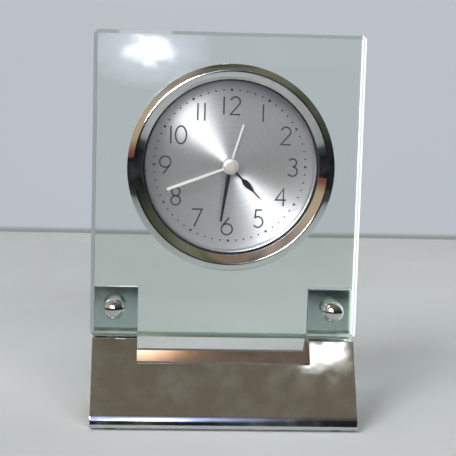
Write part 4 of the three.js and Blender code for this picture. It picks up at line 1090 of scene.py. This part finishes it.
# Each hour's figures with their own places, and the middle of the pair on the dial
HOURS = [
    ([("1", 0)], (10.9, 18.2)),
    ([("2", 0)], (18.9, 10.6)),
    ([("3", 0)], (21.6, -0.2)),
    ([("4", 0)], (17.9, -10.6)),
    ([("5", 0)], (10.3, -18.1)),
    ([("6", 0)], (-0.5, -20.9)),
    ([("7", 0)], (-10.9, -18.2)),
    ([("8", 0)], (-18.3, -10.9)),
    ([("9", 0)], (-22.1, -0.2)),
    ([("1", -2.5), ("0", 0.95)], (-17.9, 10.2)),
    ([("1", -1.2), ("1", 1.2)], (-10.2, 18.2)),
    ([("1", -2.45), ("2", 1.45)], (-0.1, 20.5)),
]


def ribbon(mesh, path):
    """A flat stroke of ink along a path on the dial, with mitred corners."""
    path = [Vector(p) for p in path]
    loop = (path[0] - path[-1]).length < 1e-6
    if loop:
        path = path[:-1]
    rows = []
    for i, here in enumerate(path):
        before = path[i - 1] if i or loop else None
        after = path[(i + 1) % len(path)] if i + 1 < len(path) or loop else None
        ways = [(b - a).normalized() for a, b in ((before, here), (here, after)) if a and b]
        along = sum(ways, Vector((0, 0))).normalized()
        across = Vector((-along.y, along.x))
        reach = STROKE_HALF / max(0.5, across.dot(Vector((-ways[0].y, ways[0].x))))
        near, far = here + across * reach, here - across * reach
        corners = [(near, INK_LOW), (far, INK_LOW), (far, INK_HIGH), (near, INK_HIGH)]
        rows.append([mesh.verts.new(lying(*p, z)) for p, z in corners])
    for i in range(len(rows) if loop else len(rows) - 1):
        a, b = rows[i], rows[(i + 1) % len(rows)]
        for n in range(4):
            mesh.faces.new([a[n], a[(n + 1) % 4], b[(n + 1) % 4], b[n]])
    if not loop:
        mesh.faces.new(rows[0])
        mesh.faces.new(rows[-1])


def printed_numerals():
    """All twelve numerals as one thin print on the dial."""
    mesh = bmesh.new()
    for figures, (x, y) in HOURS:
        for figure, shift in figures:
            for path in FIGURES[figure]:
                ribbon(mesh, [(x + shift + px, y + py) for px, py in path])
    bmesh.ops.recalc_face_normals(mesh, faces=mesh.faces)
    shaded(from_bmesh(mesh), "printed_numerals", ink)


printed_numerals()


def tree_inputs(tree, sizes):
    """Named inputs with their values, and the group's input node."""
    for name, kind, value in sizes:
        socket = tree.interface.new_socket(name, in_out="INPUT", socket_type=kind)
        socket.default_value = value
    tree.interface.new_socket("Geometry", in_out="OUTPUT", socket_type="NodeSocketGeometry")
    return put(tree, "NodeGroupInput").outputs


def grown(tree, sizes):
    """The tree's result with these sizes as a plain mesh object."""
    piece = from_bmesh(bmesh.new())
    step = piece.modifiers.new("grown", "NODES")
    step.node_group = tree
    for item in tree.interface.items_tree:
        if item.in_out == "INPUT" and item.name in sizes:
            step[item.identifier] = sizes[item.name]
    return baked(piece)


def dots_tree():
    """Dots of ink on a circle: one size at the hours, a smaller one at the minutes between."""
    tree = bpy.data.node_groups.new("minute_dots", "GeometryNodeTree")
    sizes = tree_inputs(
        tree,
        [
            ("Dots", "NodeSocketInt", 60),
            ("Dots in an hour", "NodeSocketInt", 5),
            ("Circle radius", "NodeSocketFloat", DOT_CIRCLE * MM),
            ("Hour dot radius", "NodeSocketFloat", 0.46 * MM),
            ("Minute dot radius", "NodeSocketFloat", 0.3 * MM),
            ("Height", "NodeSocketFloat", (INK_HIGH - INK_LOW) * MM),
        ],
    )
    rim = {"Vertices": sizes["Dots"], "Radius": sizes["Circle radius"]}
    circle = put(tree, "GeometryNodeMeshCircle", rim, fill_type="NONE")
    number = put(tree, "GeometryNodeInputIndex").outputs[0]
    hours = sizes["Dots in an hour"]
    place = put(tree, "FunctionNodeIntegerMath", {0: number, 1: hours}, operation="MODULO").outputs[0]
    hour = put(tree, "FunctionNodeCompare", {2: place, 3: 0}, data_type="INT", operation="EQUAL")
    between = put(tree, "FunctionNodeBooleanMath", {0: hour.outputs[0]}, operation="NOT")
    kinds = []
    for radius, chosen in (("Hour dot radius", hour), ("Minute dot radius", between)):
        dot = put(
            tree,
            "GeometryNodeMeshCylinder",
            {"Vertices": 16, "Radius": sizes[radius], "Depth": sizes["Height"]},
        ).outputs["Mesh"]
        placed = {"Points": circle.outputs[0], "Selection": chosen.outputs[0], "Instance": dot}
        kinds.append(put(tree, "GeometryNodeInstanceOnPoints", placed))
    both = put(tree, "GeometryNodeJoinGeometry")
    for kind in kinds:
        tree.links.new(kind.outputs[0], both.inputs[0])
    real = put(tree, "GeometryNodeRealizeInstances", {"Geometry": both.outputs[0]})
    inked = put(tree, "GeometryNodeSetMaterial", {"Geometry": real.outputs[0], "Material": ink})
    put(tree, "NodeGroupOutput", {"Geometry": inked.outputs[0]})
    return tree


def printed_dots():
    """The sixty dots, grown flat round the origin and then laid on the dial."""
    piece = grown(dots_tree(), {"Circle radius": DOT_CIRCLE * MM})
    middle = (INK_LOW + INK_HIGH) / 2
    for vert in piece.data.vertices:
        x, y, z = vert.co / MM
        vert.co = lying(x, y, middle + z) * MM
    shaded(piece, "printed_dots", ink)


printed_dots()

# Back of the insert: moulded cover, sliding door, switch and knobs, and the screws that hold the cover
for node, name, finish, slot, body, width in [
    ("rear_cover", "moulded_rear_cover", cover_black, "black_plastic", "clock_frame", 0.2),
    ("battery_door", "moulded_battery_door", black, "black_plastic", "door_body", 0.12),
    ("alarm_switch", "moulded_alarm_switch", acetal, "white_plastic", "switch_body", 0.12),
    *[(f"cover_screw_{n}", f"cross_screw_{n}", steel, "steel", "clock_frame", 0.08) for n in (1, 2, 3)],
    ("time_knob", "moulded_time_knob", knob_black, "black_plastic", "time_setting", 0.15),
    ("alarm_knob", "moulded_alarm_knob", knob_black, "black_plastic", "alarm_setting", 0.15),
]:
    shaded(finer(node, width), name, finish, body, [node], sharp=None)
